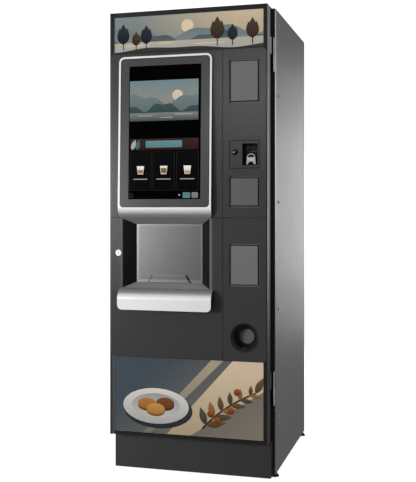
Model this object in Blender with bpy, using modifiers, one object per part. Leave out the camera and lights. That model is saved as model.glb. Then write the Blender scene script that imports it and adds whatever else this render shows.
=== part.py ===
"""Hot coffee vending machine: a floor-standing cabinet behind one hinged door.

Metres, +Z up. The front faces -Y, and the origin lies on the floor under the middle of the machine.
"""

import math

import bmesh
import bpy
from mathutils import Vector

# Overall sizes
HEIGHT = 1.830
WIDTH = 0.650
CABINET_DEPTH = 0.704
DOOR_DEPTH = 0.088
DOOR_GAP = 0.004
TRAY_REACH = 0.040

# Shared clearances and curve counts
FIT = 0.0003
OVERCUT = 0.005
CORNER_STEPS = 5
ROUND_SIDES = 24

# Cabinet shell
SHEET = 0.0015
FLOOR_CLEARANCE = 0.015
BASE_HEIGHT = 0.030
BACK_INSET = 0.018
FRAME_LAND = 0.021
FRONT_FRAME_GAP = 0.0016
PLINTH_SETBACK = 0.054
PLINTH_CLEARANCE = 0.010
PLINTH_GAP = 0.002
PLINTH_OVERHANG = 0.003
VENT_COUNT = 8
VENT_WIDTH = 0.160
VENT_HEIGHT = 0.008
VENT_PITCH = 0.020
VENT_DROP = 0.120

# Levelling feet
FOOT_RADIUS = 0.0175
FOOT_HEIGHT = 0.006
FOOT_BELL = 0.009
FOOT_BELL_HEIGHT = 0.014
FOOT_STEM = 0.005
FOOT_STEM_REACH = 0.024
FOOT_INSET = 0.009
FOOT_FRONT = 0.036
FOOT_BACK = 0.030

# Door shell and its two picture panels
DOOR_BOTTOM = 0.1515
HINGE_REVEAL = 0.0136
DOOR_SHEET = 0.0015
SIDE_BORDER = 0.0155
TOP_BORDER = 0.019
LOWER_BORDER = 0.015
TOP_PICTURE_HEIGHT = 0.1465
LOWER_PICTURE_HEIGHT = 0.2975
PICTURE_THICKNESS = 0.004
PICTURE_LAP = 0.007
CROSS_RAIL = 0.020
SEAL_INSET = 0.004
SEAL_WIDTH = 0.014

# Fascia panels, whose seams meet at the corner of the lower right panel
FASCIA = 0.006
FASCIA_MARGIN = 0.0025
FASCIA_CORNER = 0.011
PICTURE_GAP = 0.003
SEAM = 0.0016
COLUMN_WIDTH = 0.1744
LOWER_FASCIA_SHARE = 0.45877

# Hinges
HINGE_HALF = 0.0655
HINGE_LEAF = 0.0022
HINGE_PLATE_REACH = 0.045
HINGE_SIDE_GAP = 0.0013
HINGE_PIN = 0.003
HINGE_WEB = 0.003
UPPER_HINGE_DROP = 0.248
LOWER_HINGE_RISE = 0.1355

# Touch screen, which leans out at the bottom and rolls back under its chin
SCREEN_SIDE_MARGIN = 0.040
SCREEN_TOP_MARGIN = 0.0110
SCREEN_TOP_REACH = 0.0065
SCREEN_CHIN_REACH = 0.023
SCREEN_CHIN = 0.044
SCREEN_CORNER = 0.022
SCREEN_RIM = 0.0075
GLASS_THICKNESS = 0.004
CHIN_BULGE = 0.60
CHIN_CORNER_DROP = 0.004

# Delivery niche, hatch and tray lip
NICHE_SIDE_MARGIN = 0.052
NICHE_HEIGHT = 0.274
NICHE_TOP_MARGIN = 0.0035
NICHE_DEPTH = 0.047
NICHE_WALL = 0.0025
NICHE_SIDE_SPLAY = 0.042
NICHE_TOP_SPLAY = 0.023
NICHE_FLOOR_SPLAY = 0.020
HATCH_THICKNESS = 0.004
HATCH_LAP = 0.006
HATCH_TRAVEL = 0.185
RAIL_WIDTH = 0.014
RAIL_LIP = 0.004
RAIL_STOP = 0.006
GRIP_WIDTH = 0.175
GRIP_HEIGHT = 0.030
GRIP_TAPER = 0.0175
GRIP_REACH = 0.005
TRAY_HEIGHT = 0.083
TRAY_ROLL = 0.041
TRAY_BULGE = 0.90
TRAY_SHIFT = 0.004
TRAY_CORNER = 0.019

# Payment column: a share is how far up or down its fascia a cut-out stands from the middle seam
CUTOUT_WIDTH = 0.1186
UPPER_BLANK_HEIGHT = 0.1655
UPPER_BLANK_SHARE = 0.8094
MIDDLE_BLANK_HEIGHT = 0.1179
MIDDLE_BLANK_SHARE = 0.1534
LOWER_BLANK_HEIGHT = 0.1625
LOWER_BLANK_SHARE = 0.3303
BLANK_THICKNESS = 0.004
BLANK_LAP = 0.006
BLANK_SETBACK = 0.001
BLANK_BEVEL = 0.0075
BLANK_GROOVE = 0.001
COIN_PLATE_HEIGHT = 0.1086
COIN_PLATE_SHARE = 0.3748
COIN_PLATE_GAP = 0.0008
CUTOUT_CORNER = 0.004
WINDOW_WIDTH = 0.0605
WINDOW_HEIGHT = 0.0835
WINDOW_SHIFT = 0.0218
WINDOW_POCKET = 0.032
VALIDATOR_WALL = 0.010
VALIDATOR_DEPTH = 0.070
ENTRY_WIDTH = 0.0375
ENTRY_HEIGHT = 0.042
ENTRY_DEPTH = 0.020
ENTRY_SHOULDER = 0.014
ENTRY_SPLAY = 0.0018
ENTRY_RISE = 0.004
ENTRY_HOOD = 0.0028
ENTRY_NOTCH = 0.0135
ENTRY_NOTCH_RISE = 0.011
COIN_SLOT_RISE = 0.0025
COIN_SLOT_DEPTH = 0.014
BUTTON_RADIUS = 0.0118
BUTTON_SHIFT = 0.0360
BUTTON_RISE = 0.0094
BUTTON_REACH = 0.006
BUTTON_FLANGE = 0.002

# Coin-return cup
CUP_RADIUS = 0.056
CUP_SHARE = 0.8367
CUP_DEPTH = 0.046
CUP_WALL = 0.002
CUP_THROAT = 0.044
CUP_THROAT_DEPTH = 0.013
CUP_FLANGE = 0.004
FLAP_RADIUS = 0.0285
FLAP_THICKNESS = 0.0012
FLAP_GAP = 0.0005
FLAP_HINGE_DROP = 0.0015

# Cam lock
LOCK_INSET = 0.035
LOCK_SHARE = 0.2555
LOCK_RADIUS = 0.013
LOCK_BARREL = 0.010
LOCK_CORE = 0.0075
LOCK_REACH = 0.003
LOCK_BARREL_DEPTH = 0.024
KEY_SLOT_WIDTH = 0.0022
KEY_SLOT_LENGTH = 0.009
KEY_SLOT_DEPTH = 0.005
CAM_WIDTH = 0.014
CAM_LENGTH = 0.030
CAM_THICKNESS = 0.003
CAM_SETBACK = 0.0045

# Module wall and shelves inside, set back from the cabinet's front plane
PLATE = 0.002
WALL_SETBACK = 0.346
WALL_BOTTOM = 0.450
WALL_HEADROOM = 0.050
SHELF_DROP = 0.532
SHELF_SETBACK = 0.136
CUP_SHELF_DROP = 0.0065
CUP_SHELF_SETBACK = 0.016

# Powder canisters with augers
CANISTER_WIDTH = 0.115
CANISTER_HEIGHT = 0.260
CANISTER_SETBACK = 0.131
CANISTER_WALL = 0.0025
CANISTER_OFFSET = 0.110
CANISTER_PITCH = 0.130
CANISTER_COUNT = 2
SPOUT_RADIUS = 0.0195
SPOUT_BORE = 0.0165
SPOUT_REACH = 0.026
AUGER_RADIUS = 0.0150
AUGER_SHAFT = 0.004
AUGER_PITCH = 0.026
AUGER_FLIGHT = 0.003
AUGER_STEPS = 10

# Bean hopper, grinder and brewer stand in one line at the left
BREW_OFFSET = 0.110
BREW_SETBACK = 0.221
HOPPER_WIDTH = 0.150
HOPPER_HEIGHT = 0.290
HOPPER_WALL = 0.003
THROAT_RADIUS = 0.022
GRINDER_RADIUS = 0.055
GRINDER_HEIGHT = 0.130
GRINDER_NECK = 0.032
GRINDER_NECK_HEIGHT = 0.045
GRINDER_INLET = 0.030
BREWER_WIDTH = 0.110
BREWER_HEIGHT = 0.210
BREWER_PLATE = 0.010
CHAMBER_RADIUS = 0.042
CHAMBER_BORE = 0.030
CHAMBER_HEIGHT = 0.090
CHAMBER_FLOOR = 0.014
PISTON_GAP = 0.0005
PISTON_LIFT = 0.006
PISTON_HEIGHT = 0.020
PISTON_ROD = 0.008
PISTON_TRAVEL = 0.040
PISTON_HEADROOM = 0.003

# Mixing bowl and whisk under the canisters
BOWL_OFFSET = 0.175
BOWL_SETBACK = 0.114
BOWL_RADIUS = 0.075
BOWL_THROAT = 0.030
BOWL_WALL = 0.0025
BOWL_DROP = 0.168
BOWL_THROAT_HEIGHT = 0.030
BOWL_HEIGHT = 0.120
BOWL_ARM = 0.030
WHISK_RADIUS = 0.022
WHISK_SHAFT = 0.004
WHISK_DISC = 0.004
WHISK_BLADE = 0.012
WHISK_STUB = 0.026

# Cup column, its drop ring and the nozzle block
COLUMN_SETBACK = 0.081
COLUMN_BORE = 0.0395
COLUMN_WALL = 0.0025
COLUMN_RISE = 0.140
COLUMN_HEIGHT = 0.495
COLUMN_FLANGE = 0.008
COLUMN_FLANGE_HEIGHT = 0.005
COLUMN_ARM = 0.024
COLUMN_ARM_HEIGHT = 0.060
COLUMN_ARM_RISE = 0.100
RING_WIDTH = 0.009
RING_HEIGHT = 0.020
RING_LUGS = 3
RING_LUG = 0.006
NOZZLE_RISE = 0.185
NOZZLE_LENGTH = 0.025
NOZZLE_RADIUS = 0.006
NOZZLE_COUNT = 3
NOZZLE_PITCH = 0.018
NOZZLE_SETBACK = 0.161
NOZZLE_BLOCK_WIDTH = 0.060
NOZZLE_BLOCK_HEIGHT = 0.030
NOZZLE_BLOCK_LIP = 0.015

# Waste bucket, boiler and service plate
BUCKET_SIDE_MARGIN = 0.065
BUCKET_SETBACK = 0.040
BUCKET_DEPTH = 0.280
BUCKET_HEIGHT = 0.380
BUCKET_WALL = 0.003
BOILER_OFFSET = 0.190
BOILER_RADIUS = 0.075
BOILER_HEIGHT = 0.300
BOILER_Z = 0.800
BOILER_STANDOFF = 0.100
BOILER_BRACKET = 0.060
SERVICE_OFFSET = 0.150
SERVICE_Z = 0.160
SERVICE_WIDTH = 0.170
SERVICE_HEIGHT = 0.080
SERVICE_PLATE = 0.002
INLET_DEPTH = 0.014
INLET_SPREAD = 0.042
MAINS_WIDTH = 0.046
MAINS_HEIGHT = 0.032
MAINS_WALL = 0.005
WATER_RADIUS = 0.0132
WATER_BORE = 0.008

# Planes and edges that follow from the sizes
HALF_WIDTH = WIDTH / 2
BACK_Y = (TRAY_REACH + DOOR_DEPTH + DOOR_GAP + CABINET_DEPTH) / 2
CABINET_Y = BACK_Y - CABINET_DEPTH
DOOR_BACK_Y = CABINET_Y - DOOR_GAP
DOOR_Y = DOOR_BACK_Y - DOOR_DEPTH
FRAME_Y = DOOR_Y + FASCIA + FIT
PICTURE_Y = FRAME_Y + DOOR_SHEET + FIT
BEHIND_FASCIA_Y = DOOR_Y + FASCIA + FIT
BAY_X = HALF_WIDTH - SHEET - FIT
BASE_TOP = FLOOR_CLEARANCE + BASE_HEIGHT
DOOR_LEFT = -HALF_WIDTH
DOOR_RIGHT = HALF_WIDTH - HINGE_REVEAL
LOWER_WINDOW = (DOOR_BOTTOM + LOWER_BORDER, DOOR_BOTTOM + LOWER_BORDER + LOWER_PICTURE_HEIGHT)
TOP_WINDOW = (HEIGHT - TOP_BORDER - TOP_PICTURE_HEIGHT, HEIGHT - TOP_BORDER)
FASCIA_BOTTOM = LOWER_WINDOW[1] + PICTURE_GAP
FASCIA_TOP = TOP_WINDOW[0] - PICTURE_GAP
FASCIA_LEFT = DOOR_LEFT + FASCIA_MARGIN
FASCIA_RIGHT = DOOR_RIGHT - FASCIA_MARGIN
SEAM_X = DOOR_RIGHT - COLUMN_WIDTH
SEAM_Z = FASCIA_BOTTOM + LOWER_FASCIA_SHARE * (FASCIA_TOP - FASCIA_BOTTOM)
UPPER_FASCIA, LOWER_FASCIA = FASCIA_TOP - SEAM_Z, SEAM_Z - FASCIA_BOTTOM
SCREEN_WIDTH = SEAM_X - DOOR_LEFT - 2 * SCREEN_SIDE_MARGIN
NICHE_WIDTH = SEAM_X - DOOR_LEFT - 2 * NICHE_SIDE_MARGIN
NICHE_X = (DOOR_LEFT + SEAM_X) / 2
COLUMN_X = (SEAM_X + FASCIA_RIGHT) / 2
NICHE_TOP = SEAM_Z - NICHE_TOP_MARGIN
NICHE_BOTTOM = NICHE_TOP - NICHE_HEIGHT
HATCH_Y = DOOR_Y + NICHE_DEPTH + 2 * FIT
HATCH_HALF = NICHE_WIDTH / 2 - NICHE_SIDE_SPLAY + HATCH_LAP
HATCH_BOTTOM = NICHE_BOTTOM + NICHE_FLOOR_SPLAY - HATCH_LAP
HATCH_TOP = NICHE_TOP - NICHE_TOP_SPLAY + HATCH_LAP
HINGE_X = (DOOR_RIGHT + HALF_WIDTH) / 2
KNUCKLE = HINGE_REVEAL / 2 - HINGE_SIDE_GAP
HINGE_Y = DOOR_BACK_Y - KNUCKLE
LOCK_X = DOOR_LEFT + LOCK_INSET
LOCK_Z = SEAM_Z - LOCK_SHARE * LOWER_FASCIA
COIN_Z = SEAM_Z + COIN_PLATE_SHARE * UPPER_FASCIA
UPPER_BLANK = (UPPER_BLANK_HEIGHT, SEAM_Z + UPPER_BLANK_SHARE * UPPER_FASCIA)
MIDDLE_BLANK = (MIDDLE_BLANK_HEIGHT, SEAM_Z + MIDDLE_BLANK_SHARE * UPPER_FASCIA)
LOWER_BLANK = (LOWER_BLANK_HEIGHT, SEAM_Z - LOWER_BLANK_SHARE * LOWER_FASCIA)
WINDOW_X = COLUMN_X + WINDOW_SHIFT
BUTTON_X = COLUMN_X - BUTTON_SHIFT
BUTTON_Z = COIN_Z + BUTTON_RISE
CUP_Z = SEAM_Z - CUP_SHARE * LOWER_FASCIA
WALL_Y = CABINET_Y + WALL_SETBACK
BREW_X = -HALF_WIDTH + BREW_OFFSET
BREW_Y = CABINET_Y + BREW_SETBACK
SHELF_Z = HEIGHT - SHELF_DROP
SHELF_TOP = SHELF_Z + PLATE
GRINDER_TOP = SHELF_Z - FIT
GRINDER_BOTTOM = GRINDER_TOP - GRINDER_NECK_HEIGHT - GRINDER_HEIGHT
BREWER_TOP = GRINDER_BOTTOM - PISTON_HEADROOM - PISTON_TRAVEL - BREWER_PLATE
BREWER_Z = BREWER_TOP - BREWER_HEIGHT
BOWL_BOTTOM = SHELF_Z - BOWL_DROP
CUP_SHELF_Z = HATCH_BOTTOM - CUP_SHELF_DROP
NOZZLE_Z = CUP_SHELF_Z + NOZZLE_RISE
COLUMN_BOTTOM = NOZZLE_Z + NOZZLE_LENGTH + NOZZLE_BLOCK_HEIGHT + COLUMN_RISE
AUGER_Z = SHELF_TOP + FIT + CANISTER_WALL + SPOUT_BORE + FIT

FINISHES = {
    "graphite_fascia": ((0.055, 0.055, 0.057), 0.42, 0.0),
    "black_frame": ((0.012, 0.012, 0.013), 0.40, 0.0),
    "grey_paint": ((0.260, 0.262, 0.265), 0.35, 0.2),
    "silver_paint": ((0.620, 0.625, 0.630), 0.30, 0.6),
    "picture_panel": ((0.520, 0.560, 0.580), 0.25, 0.0),
    "screen_glass": ((0.030, 0.032, 0.036), 0.08, 0.0),
    "clear_hatch": ((0.420, 0.430, 0.440), 0.12, 0.0),
    "blank_plate": ((0.150, 0.150, 0.152), 0.45, 0.0),
    "gloss_black": ((0.010, 0.010, 0.010), 0.15, 0.0),
    "chrome": ((0.800, 0.800, 0.810), 0.08, 1.0),
    "zinc": ((0.520, 0.525, 0.530), 0.38, 1.0),
    "rubber": ((0.018, 0.018, 0.018), 0.80, 0.0),
    "white_plastic": ((0.720, 0.720, 0.700), 0.40, 0.0),
    "smoked_plastic": ((0.180, 0.130, 0.090), 0.20, 0.0),
}


def clear_scene():
    for item in list(bpy.data.objects):
        bpy.data.objects.remove(item)


def new_collection(name):
    collection = bpy.data.collections.new(name)
    bpy.context.scene.collection.children.link(collection)
    return collection


def new_finish(name, colour, roughness, metallic):
    finish = bpy.data.materials.new(name)
    finish.use_nodes = True
    sockets = finish.node_tree.nodes["Principled BSDF"].inputs
    sockets["Base Color"].default_value = (*colour, 1.0)
    sockets["Roughness"].default_value = roughness
    sockets["Metallic"].default_value = metallic
    return finish


clear_scene()
PARTS = new_collection("Coffee vending machine")
CUTTERS = new_collection("Cutters")
MATERIALS = {name: new_finish(name, *values) for name, values in FINISHES.items()}
FACING_FRONT = (math.pi / 2, 0, 0)
FACING_SIDE = (math.pi / 2, 0, math.pi / 2)
AXIS_TURN = {"Z": (0, 0, 0), "Y": (-math.pi / 2, 0, 0)}


def origin_of(pivot):
    """World place of an empty, which none of its parents turns."""
    total = Vector()
    while pivot:
        total += pivot.location
        pivot = pivot.parent
    return total


def new_pivot(name, place, parent=None):
    """Empty on a joint's axis, which carries the pieces that move with it."""
    pivot = bpy.data.objects.new(f"{name}_axis", None)
    pivot.parent = parent
    pivot.location = Vector(place) - origin_of(parent)
    PARTS.objects.link(pivot)
    return pivot


def new_object(name, data, finish, place, turn=(0, 0, 0), pivot=None):
    """Object at a world place. A piece without a finish only cuts, joins or trims another."""
    item = bpy.data.objects.new(name, data)
    item.parent = pivot
    item.location = Vector(place) - origin_of(pivot)
    item.rotation_euler = turn
    if finish:
        data.materials.append(MATERIALS[finish])
        PARTS.objects.link(item)
    else:
        item.hide_render = True
        item.display_type = "WIRE"
        CUTTERS.objects.link(item)
    return item


def mesh_of(name, shape):
    mesh = bpy.data.meshes.new(name)
    shape.to_mesh(mesh)
    shape.free()
    return mesh


def block(name, low, high, finish=None, pivot=None, edge=0.0):
    """Box between two world corners, with rounded edges where an edge radius is given."""
    low, high = Vector(low), Vector(high)
    shape = bmesh.new()
    bmesh.ops.create_cube(shape, size=1.0)
    bmesh.ops.scale(shape, vec=high - low, verts=shape.verts)
    item = new_object(name, mesh_of(name, shape), finish, (low + high) / 2, pivot=pivot)
    if edge:
        bevel = item.modifiers.new("Rounded edges", "BEVEL")
        bevel.width = edge
        bevel.segments = 2
    return item


def rod(name, start, end, radius, finish=None, pivot=None, sides=ROUND_SIDES):
    """Round bar between two world points."""
    start, end = Vector(start), Vector(end)
    run = end - start
    shape = bmesh.new()
    bmesh.ops.create_cone(
        shape, cap_ends=True, segments=sides, radius1=radius, radius2=radius, depth=run.length
    )
    turn = run.to_track_quat("Z", "Y").to_euler()
    item = new_object(name, mesh_of(name, shape), finish, (start + end) / 2, turn, pivot)
    item.data.shade_smooth()
    item.data.set_sharp_from_angle(angle=math.radians(35))
    return item


def turned(name, profile, place, finish=None, pivot=None, axis="Z", closed=False, steps=32):
    """Turned piece: (radius, height) points down the outside, and back up the inside if closed."""
    count = len(profile)
    links = [(i, (i + 1) % count) for i in range(count if closed else count - 1)]
    mesh = bpy.data.meshes.new(name)
    mesh.from_pydata([(radius, 0, height) for radius, height in profile], links, [])
    item = new_object(name, mesh, finish, place, AXIS_TURN[axis], pivot)
    screw = item.modifiers.new("Turned", "SCREW")
    screw.steps = screw.render_steps = steps
    screw.use_merge_vertices = True
    screw.merge_threshold = 0.00001
    return item


def arc(centre, radius, start, end, steps=CORNER_STEPS):
    """Points on an arc, with the angles in degrees."""
    angles = [math.radians(start + (end - start) * i / steps) for i in range(steps + 1)]
    return [(centre[0] + radius * math.cos(a), centre[1] + radius * math.sin(a)) for a in angles]


def rounded(low, high, corner):
    """Rectangle outline with round corners."""
    (left, bottom), (right, top) = low, high
    if not corner:
        return [(left, bottom), (right, bottom), (right, top), (left, top)]
    inner_left, inner_right = left + corner, right - corner
    inner_bottom, inner_top = bottom + corner, top - corner
    return (
        arc((inner_left, inner_bottom), corner, 180, 270)
        + arc((inner_right, inner_bottom), corner, 270, 360)
        + arc((inner_right, inner_top), corner, 0, 90)
        + arc((inner_left, inner_top), corner, 90, 180)
    )


def one_round(low, high, corner, where):
    """Rectangle outline with one round corner, counted anticlockwise from the bottom left."""
    (left, bottom), (right, top) = low, high
    shifts = ((1, 1), (-1, 1), (-1, -1), (1, -1))
    outline = []
    for number, (x, z) in enumerate(((left, bottom), (right, bottom), (right, top), (left, top))):
        if number == where:
            centre = (x + shifts[number][0] * corner, z + shifts[number][1] * corner)
            outline += arc(centre, corner, 180 + 90 * number, 270 + 90 * number)
        else:
            outline.append((x, z))
    return outline


def circle(centre, radius, sides=ROUND_SIDES):
    return arc(centre, radius, 0, 360 - 360 / sides, sides - 1)


def sheet(name, outlines, near, thickness, finish=None, pivot=None, turn=FACING_FRONT):
    """Flat piece cut to outlines, the first of them outside and the rest holes.

    A piece that faces the front has (x, z) outlines and grows from near along +Y; one that faces the
    side has (y, z) outlines and grows along +X.
    """
    curve = bpy.data.curves.new(name, "CURVE")
    curve.dimensions = "2D"
    curve.fill_mode = "BOTH"
    curve.extrude = thickness / 2
    corners = [Vector((min(axis), max(axis))) for axis in zip(*outlines[0])]
    middle = Vector((sum(corners[0]) / 2, sum(corners[1]) / 2))
    for outline in outlines:
        spline = curve.splines.new("POLY")
        spline.points.add(len(outline) - 1)
        for point, (u, v) in zip(spline.points, outline):
            point.co = (u - middle.x, v - middle.y, 0, 1)
        spline.use_cyclic_u = True
    flat = bpy.data.objects.new(name, curve)
    bpy.context.scene.collection.objects.link(flat)
    graph = bpy.context.evaluated_depsgraph_get()
    mesh = bpy.data.meshes.new_from_object(flat.evaluated_get(graph))
    bpy.data.objects.remove(flat)
    bpy.data.curves.remove(curve)
    shape = bmesh.new()
    shape.from_mesh(mesh)
    bmesh.ops.remove_doubles(shape, verts=shape.verts, dist=0.00001)
    bmesh.ops.recalc_face_normals(shape, faces=shape.faces)
    bpy.data.meshes.remove(mesh)
    deep = near + thickness / 2
    place = (middle.x, deep, middle.y) if turn == FACING_FRONT else (deep, middle.x, middle.y)
    return new_object(name, mesh_of(name, shape), finish, place, turn, pivot)


def boolean(item, operation, tools):
    for tool in tools:
        step = item.modifiers.new(tool.name, "BOOLEAN")
        step.operation = operation
        step.object = tool


def cut(item, *tools):
    boolean(item, "DIFFERENCE", tools)


def join(item, *tools):
    boolean(item, "UNION", tools)


def trim_to(item, outline):
    """Keep what lies inside an outline on the front of the door."""
    near, depth = DOOR_Y - TRAY_REACH - OVERCUT, TRAY_REACH + 2 * OVERCUT
    boolean(item, "INTERSECT", (sheet(f"{item.name}_outline", [outline], near, depth),))


def splayed_box(name, front, back, front_y, back_y, finish=None, pivot=None):
    """Box whose back rectangle differs from its front one, each given as (left, bottom, right, top)."""
    shape = bmesh.new()
    bmesh.ops.create_cube(shape, size=1.0)
    for vert in shape.verts:
        left, bottom, right, top = front if vert.co.y < 0 else back
        vert.co.y = front_y if vert.co.y < 0 else back_y
        vert.co.x = left if vert.co.x < 0 else right
        vert.co.z = bottom if vert.co.z < 0 else top
    return new_object(name, mesh_of(name, shape), finish, (0, 0, 0), pivot=pivot)


def open_box(name, low, high, wall, finish, pivot=None):
    """Box with walls and a floor, open at the top."""
    low, high = Vector(low), Vector(high)
    item = block(name, low, high, finish, pivot)
    inner_high = (high.x - wall, high.y - wall, high.z + OVERCUT)
    cut(item, block(f"{name}_inside", low + Vector((wall, wall, wall)), inner_high))
    return item


def build_shell():
    """Sheet-metal cabinet: sides, top, base, back, front frame, seal and plinth."""
    for side, word in ((-1, "left"), (1, "right")):
        low_x, high_x = sorted((side * HALF_WIDTH, side * (HALF_WIDTH - SHEET)))
        low = (low_x, CABINET_Y, FLOOR_CLEARANCE)
        block(f"side_panel_{word}", low, (high_x, BACK_Y, HEIGHT), "grey_paint")
    block("top_panel", (-BAY_X, CABINET_Y, HEIGHT - SHEET), (BAY_X, BACK_Y, HEIGHT), "grey_paint")
    low, high = (-BAY_X, CABINET_Y, FLOOR_CLEARANCE), (BAY_X, BACK_Y, BASE_TOP)
    base = open_box("base_pan", low, high, SHEET, "zinc")
    for x, y in foot_places().values():
        hole = rod("foot_hole", (x, y, 0), (x, y, BASE_TOP), FOOT_STEM + FIT)
        cut(base, hole)
    under_top = HEIGHT - SHEET - FIT
    outlines = [rounded((-BAY_X, BASE_TOP + FIT), (BAY_X, under_top), 0)]
    for row in range(VENT_COUNT):
        z = HEIGHT - VENT_DROP - row * VENT_PITCH
        low, high = (-VENT_WIDTH / 2, z - VENT_HEIGHT / 2), (VENT_WIDTH / 2, z + VENT_HEIGHT / 2)
        outlines.append(rounded(low, high, VENT_HEIGHT / 2))
    sheet("back_panel", outlines, BACK_Y - BACK_INSET - SHEET, SHEET, "grey_paint")
    frame = rounded((-BAY_X, BASE_TOP + FRONT_FRAME_GAP), (BAY_X, under_top), 0)
    low = (DOOR_LEFT + FRAME_LAND, DOOR_BOTTOM + FRAME_LAND)
    opening = rounded(low, (DOOR_RIGHT - FRAME_LAND, HEIGHT - FRAME_LAND), 0)
    sheet("front_frame", [frame, opening], CABINET_Y, PLATE, "black_frame")
    rings = []
    for inset in (SEAL_INSET, SEAL_INSET + SEAL_WIDTH):
        low = (DOOR_LEFT + inset, DOOR_BOTTOM + inset)
        rings.append(rounded(low, (DOOR_RIGHT - inset, HEIGHT - inset), 0))
    sheet("door_seal", rings, DOOR_BACK_Y + FIT, DOOR_GAP - 2 * FIT, "rubber")
    low = (DOOR_LEFT, DOOR_Y + PLINTH_SETBACK, PLINTH_CLEARANCE)
    high = (DOOR_RIGHT + PLINTH_OVERHANG, CABINET_Y - FIT, DOOR_BOTTOM - PLINTH_GAP)
    plinth = block("plinth", low, high, "black_frame")
    inside_low = (low[0] + SHEET, low[1] + SHEET, low[2] + SHEET)
    cut(plinth, block("plinth_inside", inside_low, (high[0] - SHEET, high[1] + OVERCUT, high[2] - SHEET)))


def foot_places():
    """Name and (x, y) of each levelling foot."""
    rows = {"front": CABINET_Y + FOOT_FRONT, "back": BACK_Y - FOOT_BACK}
    sides = {"left": FOOT_INSET - HALF_WIDTH, "right": HALF_WIDTH - FOOT_INSET}
    return {f"foot_{row}_{side}": (x, y) for row, y in rows.items() for side, x in sides.items()}


def build_feet():
    stem_top = FLOOR_CLEARANCE + FOOT_STEM_REACH
    profile = [(0, stem_top), (FOOT_STEM, stem_top), (FOOT_STEM, FOOT_BELL_HEIGHT)]
    profile += [(FOOT_BELL, FOOT_BELL_HEIGHT)]
    profile += [(FOOT_RADIUS - FOOT_HEIGHT / 2, FOOT_HEIGHT), (FOOT_RADIUS, FOOT_HEIGHT / 2)]
    profile += [(FOOT_RADIUS, 0), (0, 0)]
    for name, (x, y) in foot_places().items():
        turned(name, profile, (x, y, 0), "rubber", new_pivot(name, (x, y, 0)), steps=20)


def build_hinge(word, low, door):
    """Bracket with its pin on the front frame, and the leaf that the pin carries on the door."""
    middle, top = low + HINGE_HALF, low + 2 * HINGE_HALF
    axis = Vector((HINGE_X, HINGE_Y, 0))
    start, end = axis + Vector((0, 0, low)), axis + Vector((0, 0, middle - FIT))
    bracket = rod(f"{word}_hinge_bracket", start, end, KNUCKLE, "chrome")
    pin = rod(f"{word}_pin", start, axis + Vector((0, 0, top)), HINGE_PIN, sides=16)
    web_low = (HINGE_X - HINGE_WEB, HINGE_Y, low)
    web_high = (HINGE_X + HINGE_WEB, CABINET_Y - FIT, middle - FIT)
    foot_low = (HINGE_X - KNUCKLE, CABINET_Y - FIT - HINGE_LEAF, low)
    foot = block(f"{word}_bracket_foot", foot_low, (BAY_X - FIT, CABINET_Y - FIT, middle - FIT))
    join(bracket, pin, block(f"{word}_web", web_low, web_high), foot)
    bore = HINGE_PIN + FIT
    profile = [(KNUCKLE, HINGE_HALF), (KNUCKLE, 0), (bore, 0), (bore, HINGE_HALF)]
    place = (HINGE_X, HINGE_Y, middle)
    leaf = turned(f"{word}_hinge_leaf", profile, place, "chrome", door, closed=True, steps=ROUND_SIDES)
    plate_low = (DOOR_RIGHT + FIT, HINGE_Y - HINGE_PLATE_REACH, middle)
    plate_high = (DOOR_RIGHT + FIT + HINGE_LEAF, HINGE_Y, top)
    join(leaf, block(f"{word}_leaf_plate", plate_low, plate_high))


def build_door_shell(door):
    """Door pan with three openings, its back cover and the two picture panels."""
    low, high = (DOOR_LEFT, FRAME_Y, DOOR_BOTTOM), (DOOR_RIGHT, DOOR_BACK_Y, HEIGHT)
    frame = block("door_frame", low, high, "black_frame", door)
    inside_low = [value + DOOR_SHEET for value in low]
    inside = (high[0] - DOOR_SHEET, high[1] + OVERCUT, high[2] - DOOR_SHEET)
    left, right = DOOR_LEFT + SIDE_BORDER, DOOR_RIGHT - SIDE_BORDER
    middle = (FASCIA_BOTTOM + CROSS_RAIL, FASCIA_TOP - CROSS_RAIL)
    cut(frame, block("door_inside", inside_low, inside))
    for number, (bottom, top) in enumerate((LOWER_WINDOW, middle, TOP_WINDOW)):
        cutter_low, cutter_high = (left, FRAME_Y - OVERCUT, bottom), (right, FRAME_Y + OVERCUT, top)
        cut(frame, block(f"door_window_{number}", cutter_low, cutter_high))
    edge = DOOR_SHEET + FIT
    cover = rounded((DOOR_LEFT + edge, DOOR_BOTTOM + edge), (DOOR_RIGHT - edge, HEIGHT - edge), 0)
    hatch_way = rounded((NICHE_X - HATCH_HALF, HATCH_BOTTOM), (NICHE_X + HATCH_HALF, HATCH_TOP), 0)
    lock_way = circle((LOCK_X, LOCK_Z), LOCK_CORE + FIT)
    outlines = [cover, hatch_way, lock_way]
    sheet("door_back", outlines, DOOR_BACK_Y - DOOR_SHEET, DOOR_SHEET, "zinc", door)
    for word, (bottom, top) in (("lower", LOWER_WINDOW), ("top", TOP_WINDOW)):
        low = (left - PICTURE_LAP, PICTURE_Y, bottom - PICTURE_LAP)
        high = (right + PICTURE_LAP, PICTURE_Y + PICTURE_THICKNESS, top + PICTURE_LAP)
        block(f"{word}_picture", low, high, "picture_panel", door)


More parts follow.
